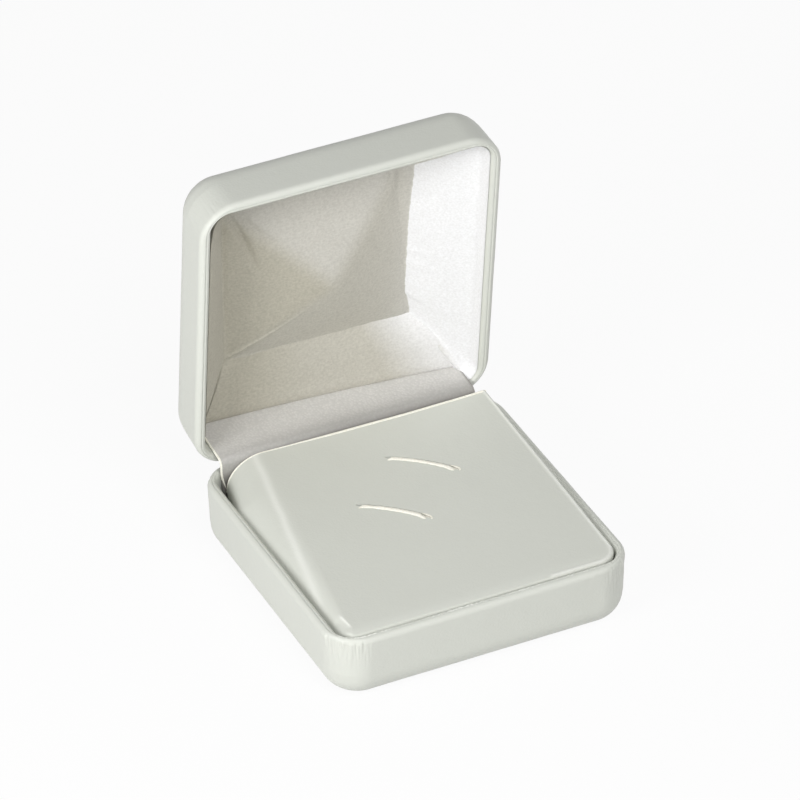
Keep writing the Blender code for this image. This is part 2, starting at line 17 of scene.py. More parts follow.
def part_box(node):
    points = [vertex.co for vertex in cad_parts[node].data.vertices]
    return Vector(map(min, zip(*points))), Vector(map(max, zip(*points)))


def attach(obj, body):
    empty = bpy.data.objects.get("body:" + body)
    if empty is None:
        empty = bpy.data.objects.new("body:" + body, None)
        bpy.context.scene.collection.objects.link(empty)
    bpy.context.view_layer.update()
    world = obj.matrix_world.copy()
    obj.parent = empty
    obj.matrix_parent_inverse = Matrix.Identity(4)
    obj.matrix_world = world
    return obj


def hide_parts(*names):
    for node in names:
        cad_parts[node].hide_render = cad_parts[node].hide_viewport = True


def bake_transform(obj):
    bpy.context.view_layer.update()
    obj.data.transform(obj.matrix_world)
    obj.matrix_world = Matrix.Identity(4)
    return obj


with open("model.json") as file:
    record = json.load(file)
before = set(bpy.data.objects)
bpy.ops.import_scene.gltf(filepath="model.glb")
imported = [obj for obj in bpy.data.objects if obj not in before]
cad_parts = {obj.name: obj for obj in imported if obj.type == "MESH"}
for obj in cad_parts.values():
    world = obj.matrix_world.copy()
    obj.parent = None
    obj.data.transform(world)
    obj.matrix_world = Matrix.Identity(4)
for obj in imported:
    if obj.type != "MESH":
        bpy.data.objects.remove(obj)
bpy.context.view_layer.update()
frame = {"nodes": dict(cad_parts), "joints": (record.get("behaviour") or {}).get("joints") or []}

# %% [markdown]
# The lid turns on one hinge. Its pieces are easiest to draw as if the box were shut, square to the
# axes, and then swung open about the hinge by the angle that the frame gives.

# %% the box's own measures
BASE_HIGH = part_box("base_cover")[1]
BASE_HEIGHT = BASE_HIGH.z
HALF_WIDTH = BASE_HIGH.x
HALF_DEPTH = BASE_HIGH.y
HINGE = frame["joints"][0]
AXIS = Vector(HINGE["pos_m"])
OPEN_ANGLE = math.radians(HINGE["range_deg"][1])
RIM_GAP = 0.0003
LID_RIM = BASE_HEIGHT + RIM_GAP
LID_HEIGHT = 0.01626
SWING = Matrix.Translation(AXIS) @ Matrix.Rotation(-OPEN_ANGLE, 4, "X") @ Matrix.Translation(-AXIS)


def swung_open(piece):
    """Turn a piece that was drawn over the shut box into its place on the open lid."""
    piece.data.transform(SWING)
    return piece


print(f"box {HALF_WIDTH * 2:.4f} wide, {HALF_DEPTH * 2:.4f} deep")
print(f"lid opened {math.degrees(OPEN_ANGLE):.1f} degrees")

# %% [markdown]
# The photograph was taken from a little left of the front and well above, with a long lens from
# far away, so the box's edges run almost parallel. A camera is a point, an aim and a slight roll.

# %% camera
CAMERA_AZIMUTH = -25.28
CAMERA_ELEVATION = 34.83
CAMERA_ROLL = -0.807
CAMERA_PLACE = Vector((-0.51972, -1.09366, 0.89164))
FIELD_OF_VIEW = 6.962


def compass(azimuth, elevation):
    """Direction from the box, for an azimuth (0 is in front) and an elevation in degrees."""
    turn = math.radians(azimuth)
    lift = math.radians(elevation)
    return Vector((math.sin(turn) * math.cos(lift), -math.cos(turn) * math.cos(lift), math.sin(lift)))


def photo_camera():
    """Camera that sees the box as the photograph does."""
    back = compass(CAMERA_AZIMUTH, CAMERA_ELEVATION)
    right = compass(CAMERA_AZIMUTH + 90, 0.0)
    roll = Matrix.Rotation(math.radians(CAMERA_ROLL), 3, "Z")
    axes = Matrix((right, back.cross(right), back)).transposed() @ roll
    camera = bpy.data.objects.new("camera", bpy.data.cameras.new("camera"))
    bpy.context.scene.collection.objects.link(camera)
    camera.matrix_world = Matrix.Translation(CAMERA_PLACE) @ axes.to_4x4()
    camera.data.angle = math.radians(FIELD_OF_VIEW)
    camera.data.clip_start = 0.01
    bpy.context.scene.camera = camera
    return camera


print("camera at", photo_camera().location)

# %% [markdown]
# The main light is a low softbox on the left. It reaches under the lid's left wall, so the right
# wall turns almost white, helped by light painted into the satin's colour, while the left half of
# the lining stays in shade. A high lamp in front lights the pad, and a third on the right keeps the
# far sides from going dark.

# %% lights
bpy.context.scene.view_settings.view_transform = "Standard"
SKY_STRENGTH = 0.19
LAMP_AIM = Vector((0.0, 0.01, 0.03))
LAMPS = {
    "left_key": (-68, 22, 0.50, 0.24, 1.66),
    "front_fill": (0, 45, 0.90, 0.50, 4.5),
    "right_rim": (100, 24, 0.90, 0.50, 0.8),
}


def softbox(name, azimuth, elevation, distance, size, power):
    """Square soft lamp that faces the box, with its distance and size in metres and power in watts."""
    way = compass(azimuth, elevation)
    lamp = bpy.data.objects.new(name, bpy.data.lights.new(name, "AREA"))
    bpy.context.scene.collection.objects.link(lamp)
    lamp.location = LAMP_AIM + way * distance
    lamp.rotation_euler = (-way).to_track_quat("-Z", "Y").to_euler()
    lamp.data.size = size
    lamp.data.energy = power


for lamp_name, settings in LAMPS.items():
    softbox(lamp_name, *settings)
print("lamps:", ", ".join(LAMPS))

# %% [markdown]
# A finish is a tree of nodes, and each input of a node holds a constant or a link. Two small helpers
# write both in the same way, so the finishes below read as lists of what goes into each node.

# %% helpers for nodes
WHITE = (1.0, 1.0, 1.0, 1.0)


def wire(tree, node, values):
    """Give inputs of a node, by name or number, a constant or a link to another node's output."""
    for socket, value in values.items():
        if isinstance(value, bpy.types.NodeSocket):
            tree.links.new(value, node.inputs[socket])
        else:
            node.inputs[socket].default_value = value
    return node


def add(tree, kind, values, **settings):
    """Add a node of a kind with its settings, and wire its inputs."""
    node = tree.nodes.new("ShaderNode" + kind)
    for name, value in settings.items():
        setattr(node, name, value)
    return wire(tree, node, values)


def new_finish(name, roughness, metallic=0.0, sheen=0.0, specular=0.5):
    """Material with its node tree and its Principled shader."""
    finish = bpy.data.materials.new(name)
    finish.use_nodes = True
    shader = finish.node_tree.nodes["Principled BSDF"]
    shader.inputs["Roughness"].default_value = roughness
    shader.inputs["Metallic"].default_value = metallic
    shader.inputs["Sheen Weight"].default_value = sheen
    shader.inputs["Specular IOR Level"].default_value = specular
    return finish, finish.node_tree, shader


print("helpers for nodes are ready")

# %% [markdown]
# The table and the sky are white to the eye, whatever light falls on them. Light Path tells a ray
# that the camera sent from one that lights the box, so the white is only seen, and adds no light.

# %% white surroundings
FLOOR_HALF = 1.6
FLOOR_WHITE = (0.80, 0.80, 0.80, 1.0)
FLOOR_GLOW_SHARE = 0.93


def seen_or_mirrored(tree):
    """One for a ray from the camera, a reflection or a ray through glass, and zero for any other."""
    rays = add(tree, "LightPath", {}).outputs
    first = add(tree, "Math", {0: rays["Is Camera Ray"], 1: rays["Is Glossy Ray"]}, operation="MAXIMUM")
    values = {0: first.outputs[0], 1: rays["Is Transmission Ray"]}
    return add(tree, "Math", values, operation="MAXIMUM").outputs[0]


def surfaced(tree, share, lit, seen, output):
    """Mix two shaders by a share, and send the mix to the tree's output."""
    mix = add(tree, "MixShader", {0: share, 1: lit.outputs[0], 2: seen.outputs[0]})
    wire(tree, tree.nodes[output], {"Surface": mix.outputs[0]})


def white_sky():
    """World that lights the box evenly and looks plain white."""
    world = bpy.data.worlds.new("studio")
    bpy.context.scene.world = world
    world.use_nodes = True
    tree = world.node_tree
    light = wire(tree, tree.nodes["Background"], {"Color": WHITE, "Strength": SKY_STRENGTH})
    seen = add(tree, "Background", {"Color": WHITE})
    surfaced(tree, seen_or_mirrored(tree), light, seen, "World Output")


def white_floor():
    """Table top that keeps a faint shadow under the box."""
    finish, tree, surface = new_finish("white_table", 0.9, specular=0.0)
    surface.inputs["Base Color"].default_value = FLOOR_WHITE
    glow = add(tree, "Emission", {"Color": WHITE})
    share = add(tree, "Math", {0: seen_or_mirrored(tree), 1: FLOOR_GLOW_SHARE}, operation="MULTIPLY")
    surfaced(tree, share.outputs[0], surface, glow, "Material Output")
    builder = bmesh.new()
    bmesh.ops.create_grid(builder, x_segments=1, y_segments=1, size=FLOOR_HALF)
    mesh = bpy.data.meshes.new("table")
    builder.to_mesh(mesh)
    builder.free()
    mesh.materials.append(finish)
    table = bpy.data.objects.new("table", mesh)
    bpy.context.scene.collection.objects.link(table)


white_sky()
white_floor()
print("floor", FLOOR_HALF * 2, "metres wide")

# %% [markdown]
# Every finish here is procedural: noise and cell patterns drive the colour and a bump. The patterns
# are measured in metres through Object coordinates, because the pieces lie in the frame's own
# units, so a grain of half a millimetre is written as half a millimetre.

# %% helpers for finishes


def object_place(tree, stretch=(1.0, 1.0, 1.0)):
    """Coordinates in metres, stretched along an axis where a weave or brushing runs."""
    place = add(tree, "TexCoord", {}).outputs["Object"]
    return add(tree, "Mapping", {"Vector": place, "Scale": stretch}).outputs["Vector"]


def cloudy(tree, place, size, detail=3.0):
    """Soft noise whose patches are about this many metres across."""
    values = {"Vector": place, "Scale": 1.0 / size, "Detail": detail}
    return add(tree, "TexNoise", values).outputs["Fac"]


def cells(tree, place, size):
    """Distance to the nearest pebble's middle, for pebbles about this many metres across."""
    values = {"Vector": place, "Scale": 1.0 / size, "Smoothness": 0.6}
    return add(tree, "TexVoronoi", values, feature="SMOOTH_F1").outputs["Distance"]


def summed(tree, value, share, other):
    """A share of one pattern added to another."""
    return add(tree, "Math", {0: value, 1: share, 2: other}, operation="MULTIPLY_ADD").outputs[0]


def between(tree, value, low, high, first, second):
    """Colour that goes from the first to the second as the value goes from low to high."""
    ramp = add(tree, "ValToRGB", {"Fac": value})
    for element, position, colour in zip(ramp.color_ramp.elements, (low, high), (first, second)):
        element.position = position
        element.color = (*colour, 1.0)
    return ramp.outputs["Color"]


def mixed(tree, attribute, plain, other):
    """Colour that goes from plain to other by the share kept in an attribute."""
    share = add(tree, "Attribute", {}, attribute_name=attribute).outputs["Fac"]
    return add(tree, "Mix", {"Factor": share, "A": plain, "B": other}, data_type="RGBA").outputs["Result"]


def dressed(tree, shader, colour, *layers):
    """Give the shader a colour and a stack of bumps: a pattern, its strength and its depth in metres."""
    wire(tree, shader, {"Base Color": colour})
    normal = {}
    for pattern, strength, depth in layers:
        values = {"Height": pattern, "Strength": strength, "Distance": depth, **normal}
        normal = {"Normal": add(tree, "Bump", values).outputs["Normal"]}
    wire(tree, shader, normal)


print("helpers for finishes are ready")

# %% [markdown]
# Leatherette is cloth coated with soft vinyl. It has a fine pebble grain and a low silky shine.
# Over pleats, crimps, the pad's creases and its edge bead a paler colour is painted in as a
# highlight. The skins below write its share into an attribute, a number kept at each point, and the
# material reads it as the share of the paler colour. The speckle of the colour hardly shows, because
# its range lies past 1 and Blender keeps the ends of a ramp at 1. The grain that is seen comes from
# the bumps.

# %% leatherette
LEATHERETTE_LIGHT = (0.760, 0.771, 0.719)
LEATHERETTE_SHADE = (0.627, 0.641, 0.588)
# Paler colour painted in as a highlight on pleats, crimps, the pad's creases and its edge bead.
LEATHERETTE_PAINTED_HIGHLIGHT = (0.860, 0.865, 0.820, 1.0)
GRAIN_SIZE = 0.00056
MOTTLE_SIZE = 0.016
SPECK_SHARE = 2.2
SPECK_RANGE = (0.30 + SPECK_SHARE / 2, 0.70 + SPECK_SHARE / 2)


def leatherette():
    """White coated cloth with a fine grain."""
    finish, tree, shader = new_finish("white_leatherette", 0.46, specular=0.42)
    place = object_place(tree)
    mottle = cloudy(tree, place, MOTTLE_SIZE, detail=6.0)
    pebbles = cells(tree, place, GRAIN_SIZE)
    creases = cloudy(tree, place, GRAIN_SIZE * 3, detail=5.0)
    speck = summed(tree, cloudy(tree, place, GRAIN_SIZE), SPECK_SHARE, mottle)
    colour = between(tree, speck, *SPECK_RANGE, LEATHERETTE_SHADE, LEATHERETTE_LIGHT)
    # Mix in the paler colour as a painted highlight, by its share in the attribute.
    colour = mixed(tree, "painted_highlight", colour, LEATHERETTE_PAINTED_HIGHLIGHT)
    dressed(tree, shader, colour, (creases, 0.55, 0.00010), (pebbles, 0.50, 0.00005))
    return finish


LEATHERETTE = leatherette()
print("made", LEATHERETTE.name)

# %% [markdown]
# The band over the hinge is a thicker, duller vinyl with small round pebbles. Where it bends down
# behind the pad its colour is darkened as painted shade, more so deeper down, and it is darker along
# its right end. Where it and the pad's cover are cut, the white cloth under the vinyl shows as a
# bright line.

# %% band and cut edge
BAND_LIGHT = (0.668, 0.655, 0.629)
BAND_SHADE = (0.586, 0.575, 0.551)
# Dark colour painted in as shade where the band goes down behind the pad.
BAND_PAINTED_SHADE = (0.170, 0.162, 0.148, 1.0)
PEBBLE_SIZE = 0.00060
CUT_LIGHT = (0.930, 0.915, 0.840)
CUT_SHADE = (0.820, 0.795, 0.690)
THREAD_SIZE = 0.00030


def pebbled_band():
    """Matt vinyl with round pebbles."""
    finish, tree, shader = new_finish("pebbled_band", 0.62, specular=0.35)
    place = object_place(tree)
    pebbles = cells(tree, place, PEBBLE_SIZE)
    swell = cloudy(tree, place, PEBBLE_SIZE * 5)
    colour = between(tree, pebbles, 0.10, 0.62, BAND_LIGHT, BAND_SHADE)
    # Mix in the dark colour as painted shade, by its share in the attribute.
    colour = mixed(tree, "painted_shade", colour, BAND_PAINTED_SHADE)
    dressed(tree, shader, colour, (swell, 0.4, 0.00012), (pebbles, 0.70, 0.00009))
    return finish


def cut_cloth():
    """Raw white edge of coated cloth."""
    finish, tree, shader = new_finish("cut_cloth", 0.85, sheen=0.2, specular=0.2)
    threads = cloudy(tree, object_place(tree), THREAD_SIZE, detail=2.0)
    colour = between(tree, threads, 0.35, 0.65, CUT_SHADE, CUT_LIGHT)
    dressed(tree, shader, colour, (threads, 0.6, 0.00006))
    return finish


BAND = pebbled_band()
CUT_EDGE = cut_cloth()
print("made", BAND.name, "and", CUT_EDGE.name)

# %% [markdown]
# The lid's satin is a thin cloth. Its weave is too fine to see thread by thread, but it gives the
# walls a grainy glow. Across the puffed panel the satin is warm and dim. On the right wall it is
# nearly white, and that is light painted into its colour: an attribute gives the share of a pale
# copy of the colour at each point, so the painted light runs softly into the dim colour.

# %% satin
SATIN_LIGHT = (0.500, 0.476, 0.398)
SATIN_SHADE = (0.410, 0.388, 0.320)
# Pale copy of the satin's colour, painted in as light on the right wall and elsewhere.
PAINTED_LIT_LIGHT = (0.850, 0.852, 0.865)
PAINTED_LIT_SHADE = (0.730, 0.729, 0.730)
WEAVE_SIZE = 0.00042
WEAVE_BUMP = (0.60, 0.00008)
DRAPE_SIZE = 0.0065


def satin():
    """Satin with a fine weave and a soft sheen."""
    finish, tree, shader = new_finish("warm_satin", 0.55, sheen=0.15, specular=0.35)
    drape = cloudy(tree, object_place(tree), DRAPE_SIZE, detail=4.0)
    across = cloudy(tree, object_place(tree, (1.0, 0.6, 0.6)), WEAVE_SIZE)
    along = cloudy(tree, object_place(tree, (0.6, 1.0, 1.0)), WEAVE_SIZE)
    weave = summed(tree, across, 0.5, along)
    plain = between(tree, weave, 0.55, 0.95, SATIN_SHADE, SATIN_LIGHT)
    lit_colour = between(tree, weave, 0.45, 1.05, PAINTED_LIT_SHADE, PAINTED_LIT_LIGHT)
    # The attribute mixes in the pale copy as painted light.
    colour = mixed(tree, "painted_light", plain, lit_colour)
    dressed(tree, shader, colour, (drape, 0.20, 0.00025), (across, *WEAVE_BUMP), (along, *WEAVE_BUMP))
    return finish


SATIN = satin()
print("made", SATIN.name)

# %% [markdown]
# Inside the box are plain trade materials: rolled steel with a brushed look, grey board pressed
# from fibres, and foam. They show at the hinge and through the slits.

# %% steel, board and foam
STEEL_LIGHT = (0.600, 0.605, 0.610)
STEEL_SHADE = (0.460, 0.465, 0.475)
BOARD_LIGHT = (0.620, 0.590, 0.530)
BOARD_SHADE = (0.470, 0.445, 0.395)
FOAM_LIGHT = (0.830, 0.810, 0.740)
FOAM_SHADE = (0.640, 0.615, 0.540)
BRUSH_SIZE = 0.00022
FIBRE_SIZE = 0.0006


def rolled_steel():
    """Steel strip with fine lines along the hinge."""
    finish, tree, shader = new_finish("rolled_steel", 0.34, metallic=1.0)
    lines = cloudy(tree, object_place(tree, (0.06, 1.0, 1.0)), BRUSH_SIZE)
    colour = between(tree, lines, 0.30, 0.70, STEEL_SHADE, STEEL_LIGHT)
    dressed(tree, shader, colour, (lines, 0.25, 0.00002))
    return finish


def fibrous(name, shade, light, depth):
    """Rough material of short fibres or fine cells."""
    finish, tree, shader = new_finish(name, 0.92, specular=0.15)
    fibres = cloudy(tree, object_place(tree), FIBRE_SIZE, detail=5.0)
    colour = between(tree, fibres, 0.32, 0.68, shade, light)
    dressed(tree, shader, colour, (fibres, 0.7, depth))
    return finish


STEEL = rolled_steel()
BOARD = fibrous("grey_board", BOARD_SHADE, BOARD_LIGHT, 0.00005)
FOAM = fibrous("foam_wadding", FOAM_SHADE, FOAM_LIGHT, 0.00020)
STEEL_PARTS = ("base_shell", "lid_shell", "base_hinge_leaf", "lid_hinge_leaf", "snap_spring", "hinge_pin")
STEEL_PARTS += ("base_rivet_left", "base_rivet_right", "lid_rivet_left", "lid_rivet_right", "spring_rivet")
for finish, node_names in ((STEEL, STEEL_PARTS), (BOARD, ("pad_card",))):
    for node_name in node_names:
        node = frame["nodes"][node_name]
        node.data.materials.clear()
        node.data.materials.append(finish)
print("finished", len(STEEL_PARTS) + 1, "parts of the frame")

# %% [markdown]
# Soft goods have few straight lines and few sharp ends. These small rules say how a value runs from
# one place to another: evenly, eased at both ends, or as a bell that fades on both sides.

# %% helpers for shapes


def evenly(count, first=0):
    """Shares of an even division into a number of steps, from the first step up to 1."""
    return [step / count for step in range(first, count + 1)]


def blended(first, last, share):
    """Value at a share of the way from the first to the last."""
    return first + (last - first) * share


def clamped(value):
    """Value kept between 0 and 1."""
    return min(max(value, 0.0), 1.0)


def eased(value, low, high):
    """Share from 0 to 1 that rises smoothly as a value goes from low to high."""
    share = clamped((value - low) / (high - low))
    return share * share * (3 - 2 * share)


def bell(value, width):
    """Share that is 1 where the value is 0 and fades on both sides over a width."""
    return math.exp(-((value / width) ** 2))


def lifted(place, height):
    """Point above a place in the plan, or above another point."""
    return place.to_3d() + Vector((0.0, 0.0, height))


print("half way eased:", eased(0.5, 0.0, 1.0))

# %% [markdown]
# Most pieces are skins drawn from rings: closed outlines with equally many points, one above the
# other, joined by strips of faces. A ring here is a rounded four-sided outline. Each point also
# says how far round its corner it lies, which later tells the leatherette where to pleat.

# %% rings


def rounded(corners, corner_steps, side_steps):
    """Outline of (place, outward, bend, corner) points round corners given as (x, y, radius).

    Bend is 0 on a side and 1 in the middle of a corner. Anticlockwise seen from above.
    """
    arcs = []
    for index, (x, y, radius) in enumerate(corners):
        before = corners[index - 1]
        after = corners[(index + 1) % len(corners)]
        to_before = math.atan2(before[1] - y, before[0] - x)
        to_after = math.atan2(after[1] - y, after[0] - x)
        inside = (to_before - to_after) % math.tau
        reach = radius / math.sin(inside / 2)
        middle = to_after + inside / 2
        centre = Vector((x + reach * math.cos(middle), y + reach * math.sin(middle)))
        start = to_before + math.pi / 2
        arc = []
        for share in evenly(corner_steps):
            angle = start + (math.pi - inside) * share
            outward = Vector((math.cos(angle), math.sin(angle)))
            arc.append((centre + outward * radius, outward, math.sin(math.pi * share), index))
        arcs.append(arc)
    outline = []
    for index, arc in enumerate(arcs):
        outline += arc
        first = arc[-1]
        last = arcs[(index + 1) % len(arcs)][0]
        for share in evenly(side_steps, 1)[:-1]:
            outline.append((first[0].lerp(last[0], share), first[1], 0.0, index))
    return outline


print(len(rounded(((1, 1, 0.2), (-1, 1, 0.2), (0, -1, 0.2)), 4, 3)), "points round a small triangle")

# %% pieces and skins
SHARP_EDGE = math.radians(40)
SHARP_CLOTH = math.radians(60)


def new_piece(name, builder, finish, sharp=SHARP_EDGE):
    """Object from a drawn mesh, smooth except at edges sharper than an angle."""
    bmesh.ops.recalc_face_normals(builder, faces=builder.faces)
    mesh = bpy.data.meshes.new(name)
    builder.to_mesh(mesh)
    builder.free()
    mesh.shade_smooth()
    mesh.set_sharp_from_angle(angle=sharp)
    mesh.materials.append(finish)
    piece = bpy.data.objects.new(name, mesh)
    bpy.context.scene.collection.objects.link(piece)
    return piece


def skin(name, rings, finish, around=True, capped=True, sharp=SHARP_EDGE, keep=None):
    """Piece whose surface runs over rings of equally many points.

    Keep is the name of an attribute and its value for each point of each ring.
    """
    builder = bmesh.new()
    layer = builder.verts.layers.float.new(keep[0]) if keep else None
    rows = [[builder.verts.new(point) for point in ring] for ring in rings]
    if keep:
        for row, values in zip(rows, keep[1]):
            for corner, value in zip(row, values):
                corner[layer] = value
    for lower, upper in zip(rows, rows[1:]):
        for index in range(len(lower) if around else len(lower) - 1):
            after = (index + 1) % len(lower)
            builder.faces.new((lower[index], lower[after], upper[after], upper[index]))
    if capped:
        builder.faces.new(rows[0])
        builder.faces.new(rows[-1])
    return new_piece(name, builder, finish, sharp)


print("edges sharper than", round(math.degrees(SHARP_EDGE)), "degrees stay sharp")

# %% cutters


def carved(piece, *cutters):
    """Cut each cutter's shape out of the piece for good, and throw the cutters away."""
    for cutter in cutters:
        modifier = piece.modifiers.new("cut", "BOOLEAN")
        modifier.operation = "DIFFERENCE"
        modifier.object = cutter
    graph = bpy.context.evaluated_depsgraph_get()
    mesh = bpy.data.meshes.new_from_object(piece.evaluated_get(graph), depsgraph=graph)
    piece.modifiers.clear()
    piece.data = mesh
    mesh.shade_smooth()
    mesh.set_sharp_from_angle(angle=SHARP_EDGE)
    for cutter in cutters:
        bpy.data.objects.remove(cutter, do_unlink=True)
    return piece


def prism(name, outline, low, high, finish):
    """Piece drawn straight up from a flat outline of (x, y) points, for cutters."""
    rings = [[(x, y, level) for x, y in outline] for level in (low, high)]
    return skin(name, rings, finish)


def block(name, low, high):
    """Box between two corners, for cutters."""
    outline = [(low[0], low[1]), (high[0], low[1]), (high[0], high[1]), (low[0], high[1])]
    return prism(name, outline, low[2], high[2], CUT_EDGE)


print("helpers for cutters are ready")

# %% [markdown]
# The cover of the tray is one sheet of leatherette. It runs from under the floor up the wall, over
# the steel's rolled rim and a little way down inside, and its edge is glued there. A seam runs along
# the crown of the rim. A profile of that path is swept round the box. Inside the rim the sheet
# crowds the corners, so the inner corner is tighter than the wall's thickness alone would make it.

# %% profile of a cover
CORNER_RADIUS = 0.00905
DRAFT = 0.00036
COVER_THICKNESS = 0.0007
WALL = 0.0027
RIM_RADIUS = WALL / 2
TURN_IN = 0.0060
CORNER_CROWDING_SHARE = 1.8
FLOOR_MARGIN = 0.0015
SEAM_ANGLE = math.radians(84)
SEAM_DEPTH = 0.00016
SEAM_WIDTH = 0.00017
FILLET_STEPS = 10
WALL_STEPS = 18
RIM_STEPS = 32


def corner_radius(inset, wall_inset=0.0):
    """Plan radius of the corners of a ring drawn in by an inset."""
    return CORNER_RADIUS - CORNER_CROWDING_SHARE * inset - wall_inset


def fillet_points(fillet, depth):
    """Quarter round from the floor to the wall, as (inset, height, radius)."""
    points = []
    for step in range(FILLET_STEPS + 1):
        angle = math.pi / 2 * step / FILLET_STEPS
        inset = DRAFT + fillet - (fillet - depth) * math.sin(angle)
        height = fillet - (fillet - depth) * math.cos(angle)
        points.append((inset, height, corner_radius(depth, inset - depth)))
    return points


def rim_points(height, radius):
    """Half round over the rim, from the outer side to the inner side, with a seam in its crown."""
    points = []
    for step in range(RIM_STEPS + 1):
        angle = math.pi * (1 - step / RIM_STEPS)
        reach = radius - SEAM_DEPTH * bell((angle - SEAM_ANGLE) * radius, SEAM_WIDTH)
        inset = RIM_RADIUS + radius * math.cos(angle)
        up = height - RIM_RADIUS + reach * math.sin(angle)
        points.append((inset, up, corner_radius(inset)))
    return points


def wall_points(height, fillet):
    """Points up the outer wall."""
    points = []
    top = height - RIM_RADIUS
    for step in range(1, WALL_STEPS):
        level = fillet + (top - fillet) * step / WALL_STEPS
        inset = DRAFT * (top - level) / (top - fillet)
        points.append((inset, level, corner_radius(inset)))
    return points


def cover_profile(height, fillet):
    """Whole path of the sheet, from under the floor to its hidden side and back."""
    outer = fillet_points(fillet, 0.0)
    inner = fillet_points(fillet, COVER_THICKNESS)
    edge = height - TURN_IN
    hidden = WALL - COVER_THICKNESS
    return (
        [(outer[0][0] + FLOOR_MARGIN, outer[0][1], outer[0][2])]
        + outer
        + wall_points(height, fillet)
        + rim_points(height, RIM_RADIUS)
        + [(WALL, edge, corner_radius(WALL)), (hidden, edge, corner_radius(hidden))]
        + rim_points(height, RIM_RADIUS - COVER_THICKNESS)[::-1]
        + inner[::-1]
    )


BASE_FILLET = 0.00653
LID_FILLET = 0.00696
print(len(cover_profile(BASE_HEIGHT, BASE_FILLET)), "rings in the tray's cover")

# %% [markdown]
# Round an outer corner the sheet has too much length, so it gathers in fine upright pleats that
# start at the rim and fade down the wall. Each pleat is a wave of noise along the wall, stretched
# upwards. Much weaker waves crimp the sheet along the inner side of the rim's crown, where it is
# pulled in. The tops of these crimps, and of the pleats near the rim, get a painted highlight.

# %% pleats and unevenness
PLEAT_SIZE = 0.00052
PLEAT_STRETCH = 9.0
PLEAT_BEND_POWER = 0.9
TRAY_PLEATS = 0.00040
LID_PLEATS = 0.00010
PLEAT_REACH = 0.0095
PALE_PLEAT_REACH = 0.0030
PALE_PLEAT_SHARE = 0.5
CRIMP_HEIGHT = 0.00016
CRIMP_INSET = 0.0018
CRIMP_REACH = 0.00040
CRIMP_LEAST = 0.2
PALE_CRIMP_SHARE = 2.4
CROWN_DEPTH = 0.00135
WALL_UNEVENNESS = 0.00006
UNEVEN_SIZE = 0.012
COVER_CORNER_STEPS = 84
COVER_SIDE_STEPS = 190


def uneven(place, size, seed=0.0):
    """Smooth value between about -1 and 1 that wanders over a size in metres."""
    return noise.noise(place / size + Vector((seed, seed * 1.7, -seed)))


def pleated(place, up, bend, below_crown, height, seed):
    """How far the sheet stands out where it is pleated, at a depth below the rim's crown."""
    fold = uneven(Vector((place.x, place.y, up / PLEAT_STRETCH)), PLEAT_SIZE, seed)
    start = clamped(below_crown / CROWN_DEPTH)
    fade = max(1.0 - below_crown / PLEAT_REACH, 0.0)
    return height * fold * start * bend**PLEAT_BEND_POWER * fade


def crimp(place, outward, inset, seed):
    """Crimp of the crown's inner side, from about -1 in a dent to 1 on its top, strongest in front."""
    patch = max(uneven(place.to_3d(), UNEVEN_SIZE, seed) * 1.5 + 0.6, 0.0)
    fold = uneven(Vector((place.x, place.y, inset)), PLEAT_SIZE, seed)
    front = blended(CRIMP_LEAST, 1, eased(-outward.y, 0.1, 0.7))
    return fold * patch * bell(inset - CRIMP_INSET, CRIMP_REACH) * front


print("crimp on the front rim", crimp(Vector((0.0, -HALF_DEPTH)), Vector((0.0, -1.0)), CRIMP_INSET, 3.0))

# %% rings of a cover


def box_corners(inset, radius):
    """Corners of the box's own outline, drawn in by an inset."""
    x = HALF_WIDTH - inset
    y = HALF_DEPTH - inset
    return [(x, y, radius), (-x, y, radius), (-x, -y, radius), (x, -y, radius)]


def cover_rings(height, fillet, level, pleat_height, seed):
    """Rings of a cover at heights given by a rule, and the share of painted highlight at each point."""
    outer_points = FILLET_STEPS + WALL_STEPS + RIM_STEPS + 2
    rings = []
    painted_highlight = []
    for row, (inset, up, radius) in enumerate(cover_profile(height, fillet)):
        below = height - up
        corners = box_corners(inset, radius)
        ring = []
        shares = []
        for place, outward, bend, _ in rounded(corners, COVER_CORNER_STEPS, COVER_SIDE_STEPS):
            stand = 0.0
            lift = 0.0
            if row <= outer_points:
                stand = pleated(place, up, bend, below, pleat_height, seed)
                stand += WALL_UNEVENNESS * uneven(Vector((place.x, place.y, up)), UNEVEN_SIZE, seed)
                if below < RIM_RADIUS:
                    lift = crimp(place, outward, inset, seed) * pleat_height / TRAY_PLEATS
            spot = place + outward * stand
            ring.append((spot.x, spot.y, level(up + CRIMP_HEIGHT * lift)))
            # Painted highlight on the pleats' tops near the rim and on the crimps' tops.
            pale = stand / TRAY_PLEATS * max(1.0 - below / PALE_PLEAT_REACH, 0.0) * bend
            shares.append(min(max(lift * PALE_CRIMP_SHARE, pale * PALE_PLEAT_SHARE, 0.0), 1.0))
        rings.append(ring)
        painted_highlight.append(shares)
    return rings, painted_highlight


tray_rings, tray_highlight = cover_rings(BASE_HEIGHT, BASE_FILLET, lambda up: up, TRAY_PLEATS, 3.0)
print(len(tray_rings), "rings of", len(tray_rings[0]), "points")

# %% [markdown]
# The barrel of the hinge lies between the two rear rims, so the covers are cut away there. The
# lid's cover is the same sheet turned over: it is drawn upside down over the tray, as if shut, and
# swung open with the lid.

# %% covers of the tray and the lid
BARREL_HALF = 0.0113
BARREL_CLEARANCE = 0.00126
TURN_IN_CUT = 0.0070
TURN_IN_INSET = 0.00155
OVERRUN = 0.0010


